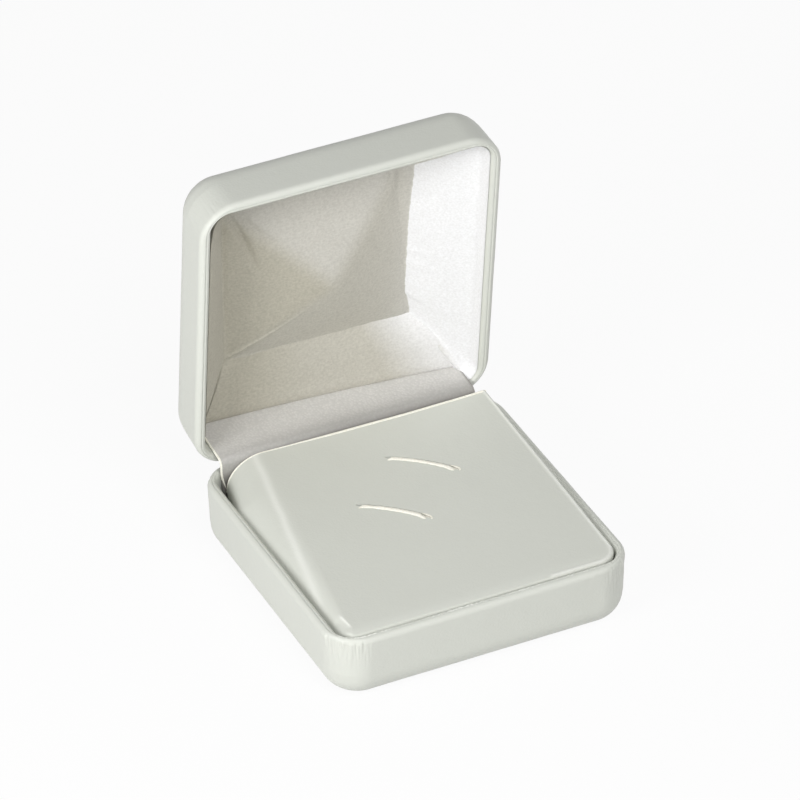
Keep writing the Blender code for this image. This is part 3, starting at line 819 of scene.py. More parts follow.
def notch(side, first, last, behind):
    """Cutter as wide as the barrel in a rear rim, -1 in the tray and 1 in the lid.

    It runs between two distances from the hinge's axis, and a little beyond the rear face.
    """
    levels = (AXIS.z + side * first, AXIS.z + side * last)
    low = (-BARREL_HALF, HALF_DEPTH - WALL - OVERRUN, min(levels))
    return block("notch", low, (BARREL_HALF, HALF_DEPTH + behind, max(levels)))


def hinge_cutters(side):
    """Cutters for the barrel's gap, and for the turned-in margin where a hinge leaf lies."""
    gap = notch(side, BARREL_CLEARANCE, -BARREL_CLEARANCE - OVERRUN, OVERRUN)
    return gap, notch(side, 0.0, TURN_IN_CUT, -TURN_IN_INSET)


tray_cover = skin("tray_leatherette", tray_rings, LEATHERETTE, keep=("painted_highlight", tray_highlight))
carved(tray_cover, *hinge_cutters(-1))
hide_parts("base_cover")
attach(tray_cover, "base")

lid_rings, lid_highlight = cover_rings(
    LID_HEIGHT, LID_FILLET, lambda up: LID_RIM + LID_HEIGHT - up, LID_PLEATS, 8.0
)
lid_cover = skin("lid_leatherette", lid_rings, LEATHERETTE, keep=("painted_highlight", lid_highlight))
carved(lid_cover, *hinge_cutters(1))
swung_open(lid_cover)
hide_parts("lid_cover")
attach(lid_cover, "lid")
print("tray cover", tray_cover.dimensions, "lid cover", lid_cover.dimensions)

# %% [markdown]
# The pad is a card folded like a tray turned upside down, with foam on it and leatherette over
# both. Its top slopes up towards the hinge. On the left it doesn't drop off square: it rolls down
# in a broad shoulder, wide at the back and narrow in front, whose foot is tucked in beside the rim.
# The cover is made of rings again, from the middle of the top out to the edge and down. It is drawn
# a little too long at the back, because there the real sheet is cut off flush.

# %% outline of the pad
PAD_LOW, PAD_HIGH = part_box("pad_cover")
PAD_RIGHT = HALF_WIDTH - WALL - 0.0002
PAD_LEFT = WALL - HALF_WIDTH
PAD_FRONT = PAD_LOW.y
PAD_BACK = PAD_HIGH.y
PAD_BACK_HEIGHT = PAD_HIGH.z
PAD_FRONT_HEIGHT = 0.0173
PAD_FOOT_HEIGHT = PAD_LOW.z
PAD_RIGHT_TAPER = 0.0001
PAD_EDGE_RADIUS = 0.0006
PAD_CORNER_RADIUS = 0.0046
PAD_SHARP_RADIUS = 0.0012
RIDGE_FRONT = 0.0031
RIDGE_BACK = 0.0124
PAD_OVERLENGTH = 0.0030
BACK_TUCK = 0.0034
BACK_TUCK_RUN = 0.0140
PAD_CORNER_STEPS = 12
PAD_SIDE_STEPS = 110


def pad_level(y):
    """Height of the pad's sloping top."""
    return PAD_FRONT_HEIGHT + (PAD_BACK_HEIGHT - PAD_FRONT_HEIGHT) * (y - PAD_FRONT) / (PAD_BACK - PAD_FRONT)


def pad_top(inset):
    """Edge of the flat top, whose left side is the start of the shoulder."""
    edge = inset + PAD_EDGE_RADIUS
    longer = PAD_OVERLENGTH * (RIDGE_BACK - RIDGE_FRONT) / (PAD_BACK - PAD_FRONT)
    back = PAD_BACK + PAD_OVERLENGTH - edge
    corners = [
        (PAD_RIGHT - edge - PAD_RIGHT_TAPER, back, PAD_SHARP_RADIUS / 2),
        (PAD_LEFT + inset + RIDGE_BACK + longer, back, PAD_SHARP_RADIUS / 2),
        (PAD_LEFT + inset + RIDGE_FRONT, PAD_FRONT + edge, PAD_SHARP_RADIUS / 2),
        (PAD_RIGHT - edge, PAD_FRONT + edge, PAD_CORNER_RADIUS - edge),
    ]
    return [place for place, *_ in rounded(corners, PAD_CORNER_STEPS, PAD_SIDE_STEPS)]


def tucked(y):
    """How far the shoulder's foot is tucked in, from 0 in front to 1 at the back."""
    return max(1.0 - (PAD_BACK - y) / BACK_TUCK_RUN, 0.0) ** 1.2


def pad_foot(inset):
    """Foot of the cover's sides. At the back the shoulder's foot turns in from the rim."""
    back = PAD_BACK + PAD_OVERLENGTH - inset
    corners = [
        (PAD_RIGHT - inset - PAD_RIGHT_TAPER, back, PAD_SHARP_RADIUS),
        (PAD_LEFT + inset, back, PAD_SHARP_RADIUS),
        (PAD_LEFT + inset, PAD_FRONT + inset, PAD_CORNER_RADIUS - inset),
        (PAD_RIGHT - inset, PAD_FRONT + inset, PAD_CORNER_RADIUS - inset),
    ]
    foot = []
    for place, *_ in rounded(corners, PAD_CORNER_STEPS, PAD_SIDE_STEPS):
        tuck = tucked(place.y) * eased(-place.x, 0.0, -PAD_LEFT)
        foot.append(place + Vector((BACK_TUCK * tuck, 0.0)))
    return foot


print("pad top from", PAD_FRONT_HEIGHT, "to", PAD_BACK_HEIGHT)

# %% [markdown]
# The foam puffs the top up a little, and along the cut at the back it sags. Along the right edge the
# folded sheet stands up as a stiff bead, with a painted highlight on it. Over the shoulder lies one
# long soft crease, from the back down to the front corner: the sheet drops a little there, and a
# painted highlight runs along it. A second, short crease with a dent beside it runs out to the front
# corner itself, and its ridge has a painted highlight too.

# %% relief of the pad
PAD_CROWN = 0.00025
PAD_CROWN_RUN = 0.040
BACK_SAG = 0.00055
BACK_SAG_PLACE = 0.0080
BACK_SAG_HALF = 0.0320
EDGE_BEAD = 0.00018
EDGE_BEAD_PALE = 0.55
EDGE_BEAD_RUN = 0.00045
FRONT_ROLL = 0.00042
FRONT_ROLL_RUN = 0.0030
PAD_UNEVENNESS = 0.00009
PAD_MIDDLE = Vector(((PAD_LEFT + PAD_RIGHT) / 2, (PAD_FRONT + PAD_BACK) / 2))


def puffed(place):
    """Height that the foam under the cover adds to the top."""
    side = (place.x - PAD_MIDDLE.x) / PAD_RIGHT
    back = eased(place.y, PAD_BACK - PAD_CROWN_RUN, PAD_BACK)
    rise = PAD_CROWN * (1 - side * side) * eased(place.y, PAD_FRONT, PAD_FRONT + PAD_CROWN_RUN) * (1 - back)
    rise -= BACK_SAG * max(1 - ((place.x - BACK_SAG_PLACE) / BACK_SAG_HALF) ** 2, 0.0) * back
    roll = max(1.0 - (place.y - PAD_FRONT) / FRONT_ROLL_RUN, 0.0)
    return rise + PAD_UNEVENNESS * uneven(place.to_3d(), UNEVEN_SIZE, 5.0) - FRONT_ROLL * roll**2


def edge_bead(x, run):
    """Height of the stiff bead along the right edge, where the sheet is folded over the card."""
    return EDGE_BEAD * bell(run, EDGE_BEAD_RUN) if x > PAD_RIGHT / 2 else 0.0


def pad_surface(place):
    """Point of the pad's top at a place in the plan."""
    return Vector((place.x, place.y, pad_level(place.y) + puffed(place)))


print("pad's middle", pad_surface(PAD_MIDDLE))

# %% creases of the pad
CREASE_START = Vector((-0.0246, 0.0330))
CREASE_END = Vector((-0.0339, -0.0240))
CREASE_DROP = 0.00020
CREASE_PALE = 0.44
CREASE_HALF = 0.00080
CORNER_CREASE_START = Vector((-0.03175, -0.0274))
CORNER_CREASE_END = Vector((-0.0311, -0.0320))
CORNER_CREASE_HEIGHT = 0.00016
CORNER_CREASE_WIDTH = 0.00026
CORNER_DENT_DEPTH = 0.00038
CORNER_DENT_OFFSET = 0.0011
CORNER_DENT_WIDTH = 0.00080


def off_line(place, start, end):
    """How far a place lies to the right of a line, and which share of the line it is beside."""
    run = end - start
    away = place - start
    share = away.dot(run) / run.length_squared
    return (away.x * run.y - away.y * run.x) / -run.length, share


def creased(place):
    """Height of the two creases at a place, and the share of painted highlight along them."""
    aside, share = off_line(place, CREASE_START, CREASE_END)
    aside = aside / CREASE_HALF + 0.25 * uneven(Vector((share, 0.0, 0.0)), 0.09, 1.0)
    long_share = math.exp(-(aside**2)) * (1 - eased(share, 0.92, 1.12))
    within = (1 - eased(share, 0.80, 1.10)) * eased(share, 0.0, 0.2)
    drop = CREASE_DROP * (0.5 - 0.5 * math.tanh(aside)) * within
    aside, share = off_line(place, CORNER_CREASE_START, CORNER_CREASE_END)
    middle = eased(share, -0.15, 0.25) * (1 - eased(share, 0.90, 1.15))
    near = bell(aside, CORNER_CREASE_WIDTH) * middle
    dent = bell(aside + CORNER_DENT_OFFSET, CORNER_DENT_WIDTH) * middle
    rise = CORNER_CREASE_HEIGHT * near - CORNER_DENT_DEPTH * dent - drop
    return rise, min(CREASE_PALE * long_share + near, 1.0)


print("crease", (CREASE_END - CREASE_START).length, "long")

# %% [markdown]
# At the back the shoulder is a quarter of an ellipse, from each point of the top's edge to its
# partner on the foot. Further forward it flattens to a slope that rests against the rim, just below
# its crown. Where the two edges lie close together, on the right and in front, the ellipse gives a
# tight rounded edge.

# %% rings of the pad
PAD_SHOULDER_SHARE = 0.88
TOUCH_DEPTH_FRONT = 0.0034
TOUCH_DEPTH_BACK = 0.0018
TOUCH_SPAN = (-0.022, 0.022)
TOUCH_CURVE = 2.1
BROAD_RUNS = (0.0012, 0.0026)
TOP_RINGS = 34
EDGE_SHARES = (0.976, 0.981, 0.986, 0.991, 0.9955)
TOP_SHARES = [step / (TOP_RINGS + 1) for step in range(1, TOP_RINGS + 1)] + list(EDGE_SHARES)
SHOULDER_STEPS = 36
PAD_COVER_THICKNESS = 0.0006


def shoulder_fall(edge, low, angle):
    """How far the shoulder has fallen where the ellipse has turned by an angle."""
    run = (low - edge).length
    round_fall = PAD_SHOULDER_SHARE * run * (1 - math.cos(angle))
    if edge.x > 0:
        return round_fall
    depth = blended(TOUCH_DEPTH_FRONT, TOUCH_DEPTH_BACK, eased(edge.y, *TOUCH_SPAN))
    slope_fall = (pad_level(edge.y) - BASE_HEIGHT + depth) * math.sin(angle) ** TOUCH_CURVE
    flat = eased(run, *BROAD_RUNS) * (1 - min(tucked(edge.y), 1.0))
    return blended(round_fall, slope_fall, flat)


def pad_point(place, edge, base, share, fall):
    """Point of the cover near the top's edge, with the height of a base point, and its share of painted
    highlight.
    """
    crease, pale = creased(place)
    bead = edge_bead(place.x, (place - edge).length)
    height = pad_level(base.y) + puffed(base) + crease * share + bead - fall
    # The creases and the edge bead get a painted highlight.
    return (place.x, place.y, height), max(pale, EDGE_BEAD_PALE * bead / EDGE_BEAD)


def pad_shape(inset, sink, foot):
    """Rings of one face of a layer, from the middle of the top to the foot, and its painted highlight."""
    top = pad_top(inset)
    skirt = pad_foot(inset)
    rows = []
    for share in TOP_SHARES:
        places = [PAD_MIDDLE.lerp(edge, share) for edge in top]
        rows.append([pad_point(place, edge, place, 1.0, sink) for place, edge in zip(places, top)])
    for step in range(SHOULDER_STEPS + 1):
        angle = math.pi / 2 * step / SHOULDER_STEPS
        row = []
        for edge, low in zip(top, skirt):
            fall = sink + shoulder_fall(edge, low, angle)
            row.append(pad_point(edge.lerp(low, math.sin(angle)), edge, edge, math.cos(angle), fall))
        rows.append(row)
    rows.append([((low.x, low.y, foot), 0.0) for low in skirt])
    return [[point for point, _ in row] for row in rows], [[pale for _, pale in row] for row in rows]


pad_outer, outer_highlight = pad_shape(0.0, 0.0, PAD_FOOT_HEIGHT)
pad_inner, inner_highlight = pad_shape(PAD_COVER_THICKNESS, PAD_COVER_THICKNESS, PAD_FOOT_HEIGHT)
print(len(pad_outer), "rings on the pad's face")

# %% [markdown]
# Two slits hold the clip. Each is a knife cut, bowed a little, through leatherette and foam. The
# springy foam has pulled it open, most at its right end, where it forks. Cutting with a Boolean
# gives it real depth, so its inside is dark without any painting.

# %% slits
SLIT_LENGTH = 0.0157
SLIT_NEAR = 0.00034
SLIT_FAR = 0.00054
SLIT_FLARE = 0.00010
SLIT_ENDS = (-1.12, 1.16)
SLIT_BOW = 0.0007
SLIT_ANGLE = math.radians(-40.5)
SLIT_SPACING = 0.0193
SLIT_SPACING_ANGLE = math.radians(46.5)
SLITS_MIDDLE = Vector((0.0023, 0.0082))
SLIT_STEPS = 30
SLIT_ALONG = Vector((math.cos(SLIT_ANGLE), math.sin(SLIT_ANGLE)))
SLIT_ACROSS = Vector((-math.sin(SLIT_ANGLE), math.cos(SLIT_ANGLE)))


def slit_point(middle, share, across=0.0):
    """Point on a slit's line, for a share from -1 at its left end to 1 at its right end."""
    run = SLIT_ALONG * (share * SLIT_LENGTH / 2)
    bow = SLIT_ACROSS * (SLIT_BOW * (1 - share**2) + across)
    return middle + run + bow


def slit_edges(share):
    """How far the opening reaches to the near and the far side of the slit's line."""
    first, last = SLIT_ENDS
    middle = (2 * share - first - last) / (last - first)
    end = math.sqrt(max(1 - abs(middle) ** 14, 0.0))
    return -SLIT_NEAR * end, (SLIT_FAR + SLIT_FLARE * eased(share, 0.55, 1.0)) * end


def slit_outline(middle):
    """Closed outline of the opening, near side first, then back along the far side."""
    first, last = SLIT_ENDS
    turns = [math.pi * step / SLIT_STEPS for step in range(SLIT_STEPS + 1)]
    shares = [blended(first, last, 0.5 - 0.5 * math.cos(turn)) for turn in turns]
    near = [slit_point(middle, share, slit_edges(share)[0]) for share in shares]
    far = [slit_point(middle, share, slit_edges(share)[1]) for share in shares[-2:0:-1]]
    return near + far


def slit_cutter(middle):
    """Blade in the shape of the opening, through every layer of the pad's top."""
    outline = [(place.x, place.y) for place in slit_outline(middle)]
    return prism("blade", outline, PAD_FOOT_HEIGHT, PAD_BACK_HEIGHT + 2 * OVERRUN, CUT_EDGE)


SLIT_OFFSET = Vector((math.cos(SLIT_SPACING_ANGLE), math.sin(SLIT_SPACING_ANGLE))) * SLIT_SPACING / 2
REAR_SLIT_SHIFT = Vector((0.0001, -0.0005))
FRONT_SLIT_SHIFT = Vector((-0.0004, -0.0001))
SLITS = {
    "rear": SLITS_MIDDLE + SLIT_OFFSET + REAR_SLIT_SHIFT,
    "front": SLITS_MIDDLE - SLIT_OFFSET + FRONT_SLIT_SHIFT,
}
print("slits at", *SLITS.values())

# %% [markdown]
# At the back a straight cutter takes the overlength off. It stands a little aslant, so that a
# narrow gap opens towards the right, between the pad and the band behind it.

# %% cover of the pad
BACK_GAP_LEFT = 0.0002
BACK_GAP_RIGHT = 0.0009


def back_cut(x):
    """Where the cover is cut off at the back."""
    share = (x - PAD_LEFT) / (PAD_RIGHT - PAD_LEFT)
    return PAD_BACK - BACK_GAP_LEFT + (BACK_GAP_LEFT - BACK_GAP_RIGHT) * share


def back_cutter():
    """Block behind the line where the cover ends."""
    ends = (-HALF_WIDTH, HALF_WIDTH)
    outline = [(x, back_cut(x)) for x in ends] + [(x, PAD_BACK + 4 * PAD_OVERLENGTH) for x in ends[::-1]]
    return prism("knife", outline, 0.0, PAD_BACK_HEIGHT + 2 * OVERRUN, CUT_EDGE)


pad_cover = skin(
    "pad_leatherette",
    pad_outer + pad_inner[::-1],
    LEATHERETTE,
    keep=("painted_highlight", outer_highlight + inner_highlight[::-1]),
)
carved(pad_cover, *(slit_cutter(middle) for middle in SLITS.values()), back_cutter())
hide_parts("pad_cover")
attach(pad_cover, "base")
print("pad cover has", len(pad_cover.data.polygons), "faces")

# %% [markdown]
# Under the leatherette lies a thin sheet of foam. Only its cut edges show, deep in the slits.

# %% foam under the pad's cover
FOAM_SINK = PAD_BACK_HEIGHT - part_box("pad_foam")[1].z
FOAM_THICKNESS = 0.0012
FOAM_SETTLING = 0.00008
FOAM_RINGS = 8


def foam_ring(sink, share):
    """Ring of the foam, drawn in from the edge of the pad's top by a share."""
    ring = []
    for edge in pad_top(FOAM_SINK):
        edge = Vector((edge.x, min(edge.y, PAD_BACK - 2 * FOAM_THICKNESS)))
        place = PAD_MIDDLE.lerp(edge, share)
        ripple = FOAM_SETTLING * uneven(place.to_3d(), UNEVEN_SIZE / 3, 2.0)
        ring.append((place.x, place.y, pad_level(place.y) - sink + ripple))
    return ring


shares = evenly(FOAM_RINGS, 1)
foam_rings = [foam_ring(FOAM_SINK, share) for share in shares]
foam_rings += [foam_ring(FOAM_SINK + FOAM_THICKNESS, share) for share in shares[::-1]]
wadding = skin("pad_wadding", foam_rings, FOAM)
carved(wadding, *(slit_cutter(middle) for middle in SLITS.values()))
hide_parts("pad_foam")
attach(wadding, "base")
print("wadding", wadding.dimensions)

# %% [markdown]
# On the near side of each slit the white backing has curled over into a pale lip. It bends down at
# both ends, and a thin rim of it runs round the forked right end, where a little foam swells up
# into the opening. Tubes with a changing radius do this, pressed flat.

# %% sweeping a tube along a path


def tube(name, path, radii, finish, sides=10, flatten=1.0, axis=(0.0, 0.0, 1.0)):
    """Round piece along a path of points, with a radius at each, flattened along an axis."""
    rings = []
    for index, point in enumerate(path):
        ahead = path[min(index + 1, len(path) - 1)] - path[max(index - 1, 0)]
        side = ahead.cross(Vector(axis)).normalized()
        rise = side.cross(ahead).normalized() * flatten
        ring = []
        for step in range(sides):
            angle = math.tau * step / sides
            ring.append(point + (side * math.cos(angle) + rise * math.sin(angle)) * radii[index])
        rings.append(ring)
    return skin(name, rings, finish)


print("a tube is a skin over round rings")

# %% lips, rims and foam of the slits
LIP_RADIUS = 0.00060
LIP_FLATNESS = 0.50
LIP_SINK = 0.00006
LIP_STEPS = 34
LIP_TAPER = 0.16
LIP_LEFT_DROP = 0.0010
LIP_RIGHT_DROP = 0.0006
LIP_WAVE_SHARE = 0.22
LIP_WAVE_SIZE = 0.0011
FORK_RADIUS = 0.00024
FORK_START = 0.84
FORK_STEPS = 12
PLUG_START = 0.74
PLUG_RADIUS = 0.00034
PLUG_SINK = 0.00042


def on_pad(place, rise=0.0):
    """Point of the pad's top at a place, raised by a height."""
    return lifted(pad_surface(place), rise)


def slit_piece(name, path, radii, finish, slot, **shape):
    """Tube beside a slit, carried by the base."""
    piece = tube(name, path, radii, finish, **shape)
    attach(piece, "base")


def slit_lip(name, middle):
    """Curled pale lip along the near side of a slit."""
    path = []
    radii = []
    for step in range(LIP_STEPS + 1):
        share = 2 * step / LIP_STEPS - 1
        drop = LIP_LEFT_DROP * eased(-share, 0.86, 1.05) + LIP_RIGHT_DROP * eased(share, 0.72, 1.02)
        path.append(on_pad(slit_point(middle, share, -SLIT_NEAR * 0.8 - drop), -LIP_SINK))
        taper = math.sqrt(min((1 - abs(share)) / LIP_TAPER, 1.0))
        wave = 1.0 + LIP_WAVE_SHARE * uneven(path[-1], LIP_WAVE_SIZE, 11.0)
        radii.append(LIP_RADIUS * (0.30 + 0.70 * taper) * wave)
    slit_piece(name, path, radii, CUT_EDGE, "leatherette", flatten=LIP_FLATNESS)


def slit_fork(name, middle):
    """Thin pale rim round the open right end of a slit."""
    turns = [math.sin(math.pi / 2 * step / FORK_STEPS) for step in range(FORK_STEPS + 1)]
    far = [blended(FORK_START, SLIT_ENDS[1], turn) for turn in turns]
    path = [on_pad(slit_point(middle, share, slit_edges(share)[1])) for share in far]
    path += [on_pad(slit_point(middle, share, slit_edges(share)[0])) for share in far[-2:-5:-1]]
    radii = [FORK_RADIUS * (0.4 + 0.6 * eased(index, 0, 5)) for index in range(len(path))]
    slit_piece(name, path, radii, CUT_EDGE, "leatherette", sides=8, flatten=0.8)


def slit_plug(name, middle):
    """Foam that swells up in the open right end of a slit, a little below the leatherette."""
    steps = range(FORK_STEPS + 1)
    shares = [PLUG_START + (SLIT_ENDS[1] - PLUG_START) * step / FORK_STEPS for step in steps]
    path = [on_pad(slit_point(middle, share, sum(slit_edges(share)) / 2), -PLUG_SINK) for share in shares]
    radii = [PLUG_RADIUS * math.sin(math.pi * (step + 1) / (FORK_STEPS + 2)) ** 0.4 for step in steps]
    slit_piece(name, path, radii, FOAM, "foam", sides=8)


for slit_name, slit_middle in SLITS.items():
    slit_lip("slit_lip_" + slit_name, slit_middle)
    slit_fork("slit_fork_" + slit_name, slit_middle)
    slit_plug("slit_foam_" + slit_name, slit_middle)
print("lips along", len(SLITS), "slits")

# %% [markdown]
# The sheet's cut edge shows white along the back of the top and down the end of the shoulder. Its
# path is found by dropping rays on the finished cover, a hair's breadth in front of the cut, so it
# follows the puffed top and the shoulder without knowing how they were made.

# %% cut edge at the back of the pad
EDGE_RADIUS_LEFT = 0.00022
EDGE_RADIUS_RIGHT = 0.00034
EDGE_RISE = -0.00008
EDGE_SET_IN = 0.00020
EDGE_STEPS = 110
EDGE_STEEP = 0.0011


def back_edge_path():
    """Points along the back of the top, then down the shoulder's end."""
    corners = [corner.co for corner in pad_cover.data.vertices]
    faces = [face.vertices for face in pad_cover.data.polygons]
    tree = BVHTree.FromPolygons(corners, faces)
    path = []
    for step in range(EDGE_STEPS + 1):
        share = math.sin(math.pi / 2 * step / EDGE_STEPS)
        x = PAD_RIGHT - 2 * PAD_RIGHT_TAPER + (PAD_LEFT - PAD_RIGHT) * share
        y = back_cut(x) - EDGE_SET_IN
        spot, *_ = tree.ray_cast(Vector((x, y, 2 * PAD_BACK_HEIGHT)), Vector((0.0, 0.0, -1.0)))
        if spot is None or path and path[-1].z - spot.z > EDGE_STEEP:
            break
        path.append(lifted(spot, EDGE_RISE))
    last = path[-1]
    path.append(Vector((last.x - EDGE_RADIUS_LEFT, last.y, last.z - 2 * EDGE_STEEP)))
    return path


edge_path = back_edge_path()
edge_radii = []
for place in edge_path:
    edge_radii.append(blended(EDGE_RADIUS_LEFT, EDGE_RADIUS_RIGHT, eased(place.x, PAD_LEFT / 2, 0.0)))
cut_edge = tube("pad_cut_edge", edge_path, edge_radii, CUT_EDGE, sides=8, axis=(0.0, 1.0, 0.0))
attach(cut_edge, "base")
print("cut edge runs to", edge_path[-1])

# %% [markdown]
# The band over the hinge is glued behind the pad and to the lid's rear wall.

# %% path of the band
STRIP_LOW, STRIP_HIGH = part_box("hinge_strip")
STRIP_THICKNESS = 0.0004
STRIP_MIDDLE = 0.00361
STRIP_BEND_RADIUS = 0.0018
STRIP_LID_REACH = 0.0112
BAND_FOOT_STEPS = 9
BAND_STEPS = 12


def lid_place(x, across, deep):
    """Point of the open lid: across from its rear wall's back, and deep behind its rim."""
    return SWING @ Vector((x, HALF_DEPTH - across, LID_RIM + deep))


def band_path(offset):
    """Middle line of the band in (y, z), set off to one side by a distance."""
    down_y = HALF_DEPTH - STRIP_MIDDLE
    lean = math.pi / 2 - OPEN_ANGLE
    near = lid_place(0.0, STRIP_MIDDLE, 0.0)
    centre_y = down_y + STRIP_BEND_RADIUS
    line_z = near.z + (centre_y - near.y) * math.tan(lean)
    centre_z = line_z - STRIP_BEND_RADIUS / math.cos(lean)
    radius = STRIP_BEND_RADIUS + offset
    points = []
    for step in range(BAND_FOOT_STEPS):
        level = STRIP_LOW.z + (centre_z - STRIP_LOW.z) * step / BAND_FOOT_STEPS
        points.append((centre_y - radius, level))
    for step in range(BAND_STEPS + 1):
        angle = math.pi - (math.pi / 2 - lean) * step / BAND_STEPS
        points.append((centre_y + radius * math.cos(angle), centre_z + radius * math.sin(angle)))
    last = points[-1]
    for step in range(1, BAND_STEPS + 1):
        reach = lid_place(0.0, STRIP_MIDDLE + offset, STRIP_LID_REACH * step / BAND_STEPS)
        if reach.y > last[0]:
            points.append((reach.y, reach.z))
    return points


# %% band over the hinge
STRIP_COLUMNS = 96
BAND_UNEVENNESS = 0.00010
SHADE_FOLD = 0.0008
SHADE_REACH = 0.0046
DARK_END_REACH = 0.0005
SHADE_DEPTH = 0.0055


def painted_shade(x, y, z):
    """Share of painted shade at a place, from the gap behind the pad up over the bend and deeper down, and
    darker along the right end.
    """
    away = max(y - PAD_BACK, 0.0)
    share = 0.50 * math.exp(-away / SHADE_FOLD) + 0.50 * bell(away, SHADE_REACH)
    end = 0.8 * bell(STRIP_HIGH.x - x, DARK_END_REACH)
    deep = 0.9 * eased(PAD_BACK_HEIGHT - z, 0.0005, SHADE_DEPTH)
    return min(max(share * (0.55 + 0.45 * eased(x, STRIP_LOW.x, 0.0)), end, deep), 1.0)


def band_sheet():
    """Band as a closed sheet, ring by ring from its left end, and its share of painted shade."""
    rings = []
    near = band_path(STRIP_THICKNESS / 2)
    far = band_path(-STRIP_THICKNESS / 2)
    shares = []
    for column in range(STRIP_COLUMNS + 1):
        x = STRIP_LOW.x + (STRIP_HIGH.x - STRIP_LOW.x) * column / STRIP_COLUMNS
        ring = []
        for y, z in near + far[::-1]:
            wave = BAND_UNEVENNESS * uneven(Vector((x, y, z)), UNEVEN_SIZE / 2, 4.0)
            ring.append((x, y - wave, z + wave))
        rings.append(ring)
        shares.append([painted_shade(*point) for point in ring])
    return rings, shares


def bends_with_lid(piece):
    """Bake the piece's placement into its mesh."""
    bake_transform(piece)


band_rings, band_painted_shade = band_sheet()
band = skin("hinge_band", band_rings, BAND, keep=("painted_shade", band_painted_shade))
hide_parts("hinge_strip")
bends_with_lid(band)
print("hinge band", band.dimensions)

# %% cut edge at the band's left end
BAND_EDGE_RADIUS = 0.00028
BAND_TURN_IN = 0.0030


def band_end(name, x, turn_in):
    """White cut edge down one end of the band. Its foot turns in towards the pad."""
    path = []
    for y, z in band_path(0.0):
        foot = eased(-z, -BASE_HEIGHT, 2 * TURN_IN - BASE_HEIGHT)
        path.append(Vector((x + turn_in * foot, y, z)))
    radii = [BAND_EDGE_RADIUS] * len(path)
    return tube(name, path, radii, CUT_EDGE, sides=8, axis=(1.0, 0.0, 0.0))


band_edge = band_end("band_edge_left", STRIP_LOW.x, BAND_TURN_IN)
bends_with_lid(band_edge)
print("band's cut edge", band_edge.dimensions)

# %% [markdown]
# The lining is satin glued over a card tray. Its side walls slope in to a panel on the lid's back,
# and the panel is puffed up into a low four-sided peak. At the rear a separate folded flap of satin
# lies on the band over the hinge. None of the outlines is quite straight: the cloth was pulled and
# glued by hand.

# %% outline of the lining
LINING_INSET = 0.00278
SATIN_THICKNESS = 0.00025
LINING_RIM_DEPTH = 0.0009
LINING_WALL_DEPTH = 0.0040
LINING_WALL_TAPER = 0.0004
LINING_CORNER_RADIUS = 0.0042
SLOT_PLACE = Vector((-0.0345, -0.0325))
SLOT_WIDTH = 0.0007
SLOT_LENGTH = 0.0036
PANEL_DEPTH = 0.01321
PANEL_LEFT_REAR = 0.0246
PANEL_LEFT_FRONT = 0.0264
PANEL_RIGHT = 0.0222
PANEL_REAR_LEFT = 0.0190
PANEL_REAR = 0.0178
PANEL_FRONT = 0.0140
PANEL_CORNER_RADIUS = 0.0007
PANEL_TOP_BOW = 0.0005
PANEL_SIDE_BOW = 0.0009
PANEL_RAGGED = 0.00018
LINING_CORNER_STEPS = 14
LINING_SIDE_STEPS = 96
PANEL_FRONT_Y = PANEL_FRONT - HALF_DEPTH


def panel_rear_y(x):
    """Where the panel ends and the rear flap begins."""
    share = (x + PANEL_LEFT_REAR) / (PANEL_LEFT_REAR + PANEL_RIGHT)
    return HALF_DEPTH - PANEL_REAR_LEFT + (PANEL_REAR_LEFT - PANEL_REAR) * clamped(share)


def wall_outline(inset):
    """Outline of the lining where it lies against the lid's walls, and stands off at one corner."""
    corners = box_corners(inset, LINING_CORNER_RADIUS)
    outline = []
    for place, outward, bend, corner in rounded(corners, LINING_CORNER_STEPS, LINING_SIDE_STEPS):
        slot = SLOT_WIDTH * bell((place - SLOT_PLACE).length, SLOT_LENGTH)
        outline.append((place - outward * slot, outward, bend, corner))
    return outline


def panel_outline():
    """Outline of the panel, whose right side bows in between its corners."""
    radius = PANEL_CORNER_RADIUS
    corners = [
        (PANEL_RIGHT, panel_rear_y(PANEL_RIGHT), radius),
        (-PANEL_LEFT_REAR, panel_rear_y(-PANEL_LEFT_REAR), radius),
        (-PANEL_LEFT_FRONT, PANEL_FRONT_Y, radius),
        (PANEL_RIGHT, PANEL_FRONT_Y, radius),
    ]
    depth = panel_rear_y(PANEL_RIGHT) - PANEL_FRONT_Y
    outline = []
    for place, outward, bend, corner in rounded(corners, LINING_CORNER_STEPS, LINING_SIDE_STEPS):
        share = (place.y - PANEL_FRONT_Y) / depth
        bow = (PANEL_TOP_BOW + PANEL_SIDE_BOW * eased(share, 0.0, 0.4)) * (1 - eased(share, 0.80, 0.98))
        ragged = PANEL_RAGGED * uneven(place.to_3d(), PANEL_RAGGED * 6, 7.0)
        right = eased(outward.x, 0.5, 0.9)
        outline.append((place - outward * (bow + ragged) * right, outward, bend, corner))
    return outline


print("panel", PANEL_LEFT_REAR + PANEL_RIGHT, "by", panel_rear_y(PANEL_RIGHT) - PANEL_FRONT_Y)

# %% [markdown]
# The pillow is worked out as a height over the panel. Four slopes rise from its sides to the peak,
# and the lowest one counts. Taking a soft minimum instead of the plain one rounds the edges between
# them. The slope on the right starts from a line that cuts the upper corner off, as on the real one.

# %% height of the pillow
PILLOW_HEIGHT = 0.0056
PEAK = Vector((-0.0004, 0.0012))
RIGHT_SLOPE_FRONT = 0.0172
PILLOW_SOFTNESS = 0.10
PILLOW_CRISPNESS = 0.018
PINCHED_CORNER = Vector((-PANEL_LEFT_REAR, panel_rear_y(-PANEL_LEFT_REAR)))


